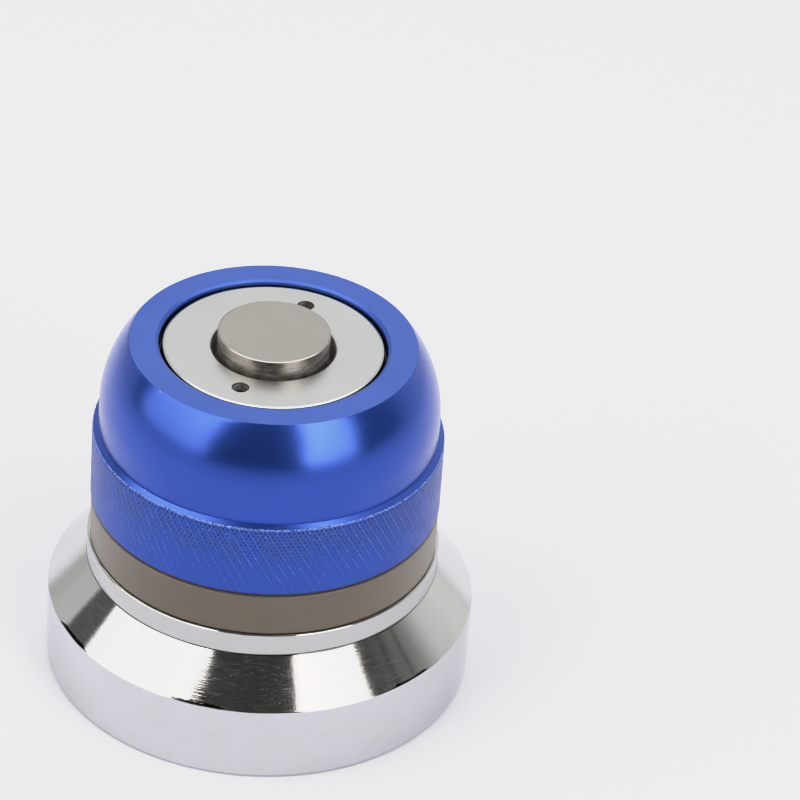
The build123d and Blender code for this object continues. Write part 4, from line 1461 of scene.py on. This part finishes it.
def metal(name, colours, roughness, marks, turned=True):
    """A metal with marks that run round the axis, or grain in every direction."""
    material, tree, shader = new_finish(name, Metallic=1.0)
    place = turned_place(tree, along=3.0, across=4.0) if turned else even_place(tree, 3)
    grain = noise(tree, place, detail=4.0)
    clouds = noise(tree, even_place(tree, 0.4), detail=3.0)
    share = total(tree, (grain, 0.5), (clouds, 0.5))
    feed(tree, shader.inputs["Base Color"], mix_colours(tree, ease(tree, share, 0.35, 0.65), *colours))
    feed(tree, shader.inputs["Roughness"], ease(tree, clouds, 0.3, 0.7, roughness * 0.8, roughness * 1.25))
    feed(tree, shader.inputs["Normal"], bump(tree, grain, marks))
    return material


def moulded(name, colours, roughness, grain_mm):
    """Moulded plastic or rubber, with an even fine grain and faint clouds."""
    material, tree, shader = new_finish(name, IOR=1.5)
    grain = noise(tree, even_place(tree, 6.0), detail=2.0)
    clouds = noise(tree, even_place(tree, 0.3), detail=3.0)
    feed(tree, shader.inputs["Base Color"], mix_colours(tree, clouds, *colours))
    feed(tree, shader.inputs["Roughness"], ease(tree, clouds, 0.3, 0.7, roughness * 0.9, roughness * 1.1))
    feed(tree, shader.inputs["Normal"], bump(tree, grain, grain_mm))
    return material


def circuit_board():
    """Green solder mask with copper tracks round the ring showing faintly through it."""
    material, tree, shader = new_finish("board_mask", IOR=1.5)
    x, y, z = split_place(tree)
    waves = calc(tree, "SINE", calc(tree, "MULTIPLY", from_axis(tree, x, y), 2 * pi / (TRACK_PITCH * MM)))
    tracks = ease(tree, waves, 0.1, 0.4)
    clouds = noise(tree, even_place(tree, 0.5), detail=3.0)
    mask = mix_colours(tree, clouds, *BOARD_GREENS)
    feed(tree, shader.inputs["Base Color"], mix_colours(tree, tracks, mask, TRACK_GREEN))
    feed(tree, shader.inputs["Roughness"], ease(tree, clouds, 0.3, 0.7, 0.22, 0.34))
    feed(tree, shader.inputs["Normal"], bump(tree, tracks, 0.03))
    return material


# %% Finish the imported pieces
NICKEL = ((0.42, 0.41, 0.39), (0.55, 0.54, 0.52))
CELL_STEEL = ((0.48, 0.48, 0.47), (0.62, 0.62, 0.61))
SCREW_STEEL = ((0.33, 0.33, 0.34), (0.5, 0.5, 0.51))
SPRING_BRONZE = ((0.42, 0.27, 0.12), (0.56, 0.38, 0.19))
BEARING_BRONZE = ((0.38, 0.24, 0.10), (0.54, 0.36, 0.17))
RUBBER = ((0.012, 0.012, 0.012), (0.02, 0.02, 0.02))
WASHER_BLACK = ((0.010, 0.010, 0.011), (0.017, 0.017, 0.018))
HOLDER_BLACK = ((0.014, 0.014, 0.015), (0.024, 0.024, 0.025))
RESISTOR_BLACK = ((0.012, 0.012, 0.014), (0.03, 0.03, 0.034))
LAMP_WHITE = ((0.74, 0.72, 0.60), (0.84, 0.82, 0.70))
PACKED_FINISHES = {
    "magnet": metal("magnet_nickel", NICKEL, roughness=0.24, marks=0.003, turned=False),
    "ring_seal": moulded("seal_rubber", RUBBER, roughness=0.6, grain_mm=0.008),
    "joint_washer": moulded("washer_plastic", WASHER_BLACK, roughness=0.5, grain_mm=0.006),
    "battery_holder": moulded("holder_plastic", HOLDER_BLACK, roughness=0.42, grain_mm=0.01),
    "button_cells": metal("cell_steel", CELL_STEEL, roughness=0.2, marks=0.002),
    "negative_contact": metal("contact_bronze", SPRING_BRONZE, roughness=0.3, marks=0.003, turned=False),
    "earth_strip": metal("strip_bronze", SPRING_BRONZE, roughness=0.3, marks=0.003, turned=False),
    "holder_screws": metal("holder_screw_steel", SCREW_STEEL, roughness=0.3, marks=0.004, turned=False),
    "board_screws": metal("board_screw_steel", SCREW_STEEL, roughness=0.3, marks=0.004, turned=False),
    "lamp_board": circuit_board(),
    "lamps": moulded("lamp_white", LAMP_WHITE, roughness=0.35, grain_mm=0.004),
    "resistors": moulded("resistor_black", RESISTOR_BLACK, roughness=0.45, grain_mm=0.008),
    "guide_bush": metal("bush_bronze", BEARING_BRONZE, roughness=0.26, marks=0.004),
}
for name, material in PACKED_FINISHES.items():
    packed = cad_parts[name]
    packed.data.materials.clear()
    packed.data.materials.append(material)
print(len(PACKED_FINISHES), "packed pieces finished:", ", ".join(PACKED_FINISHES))
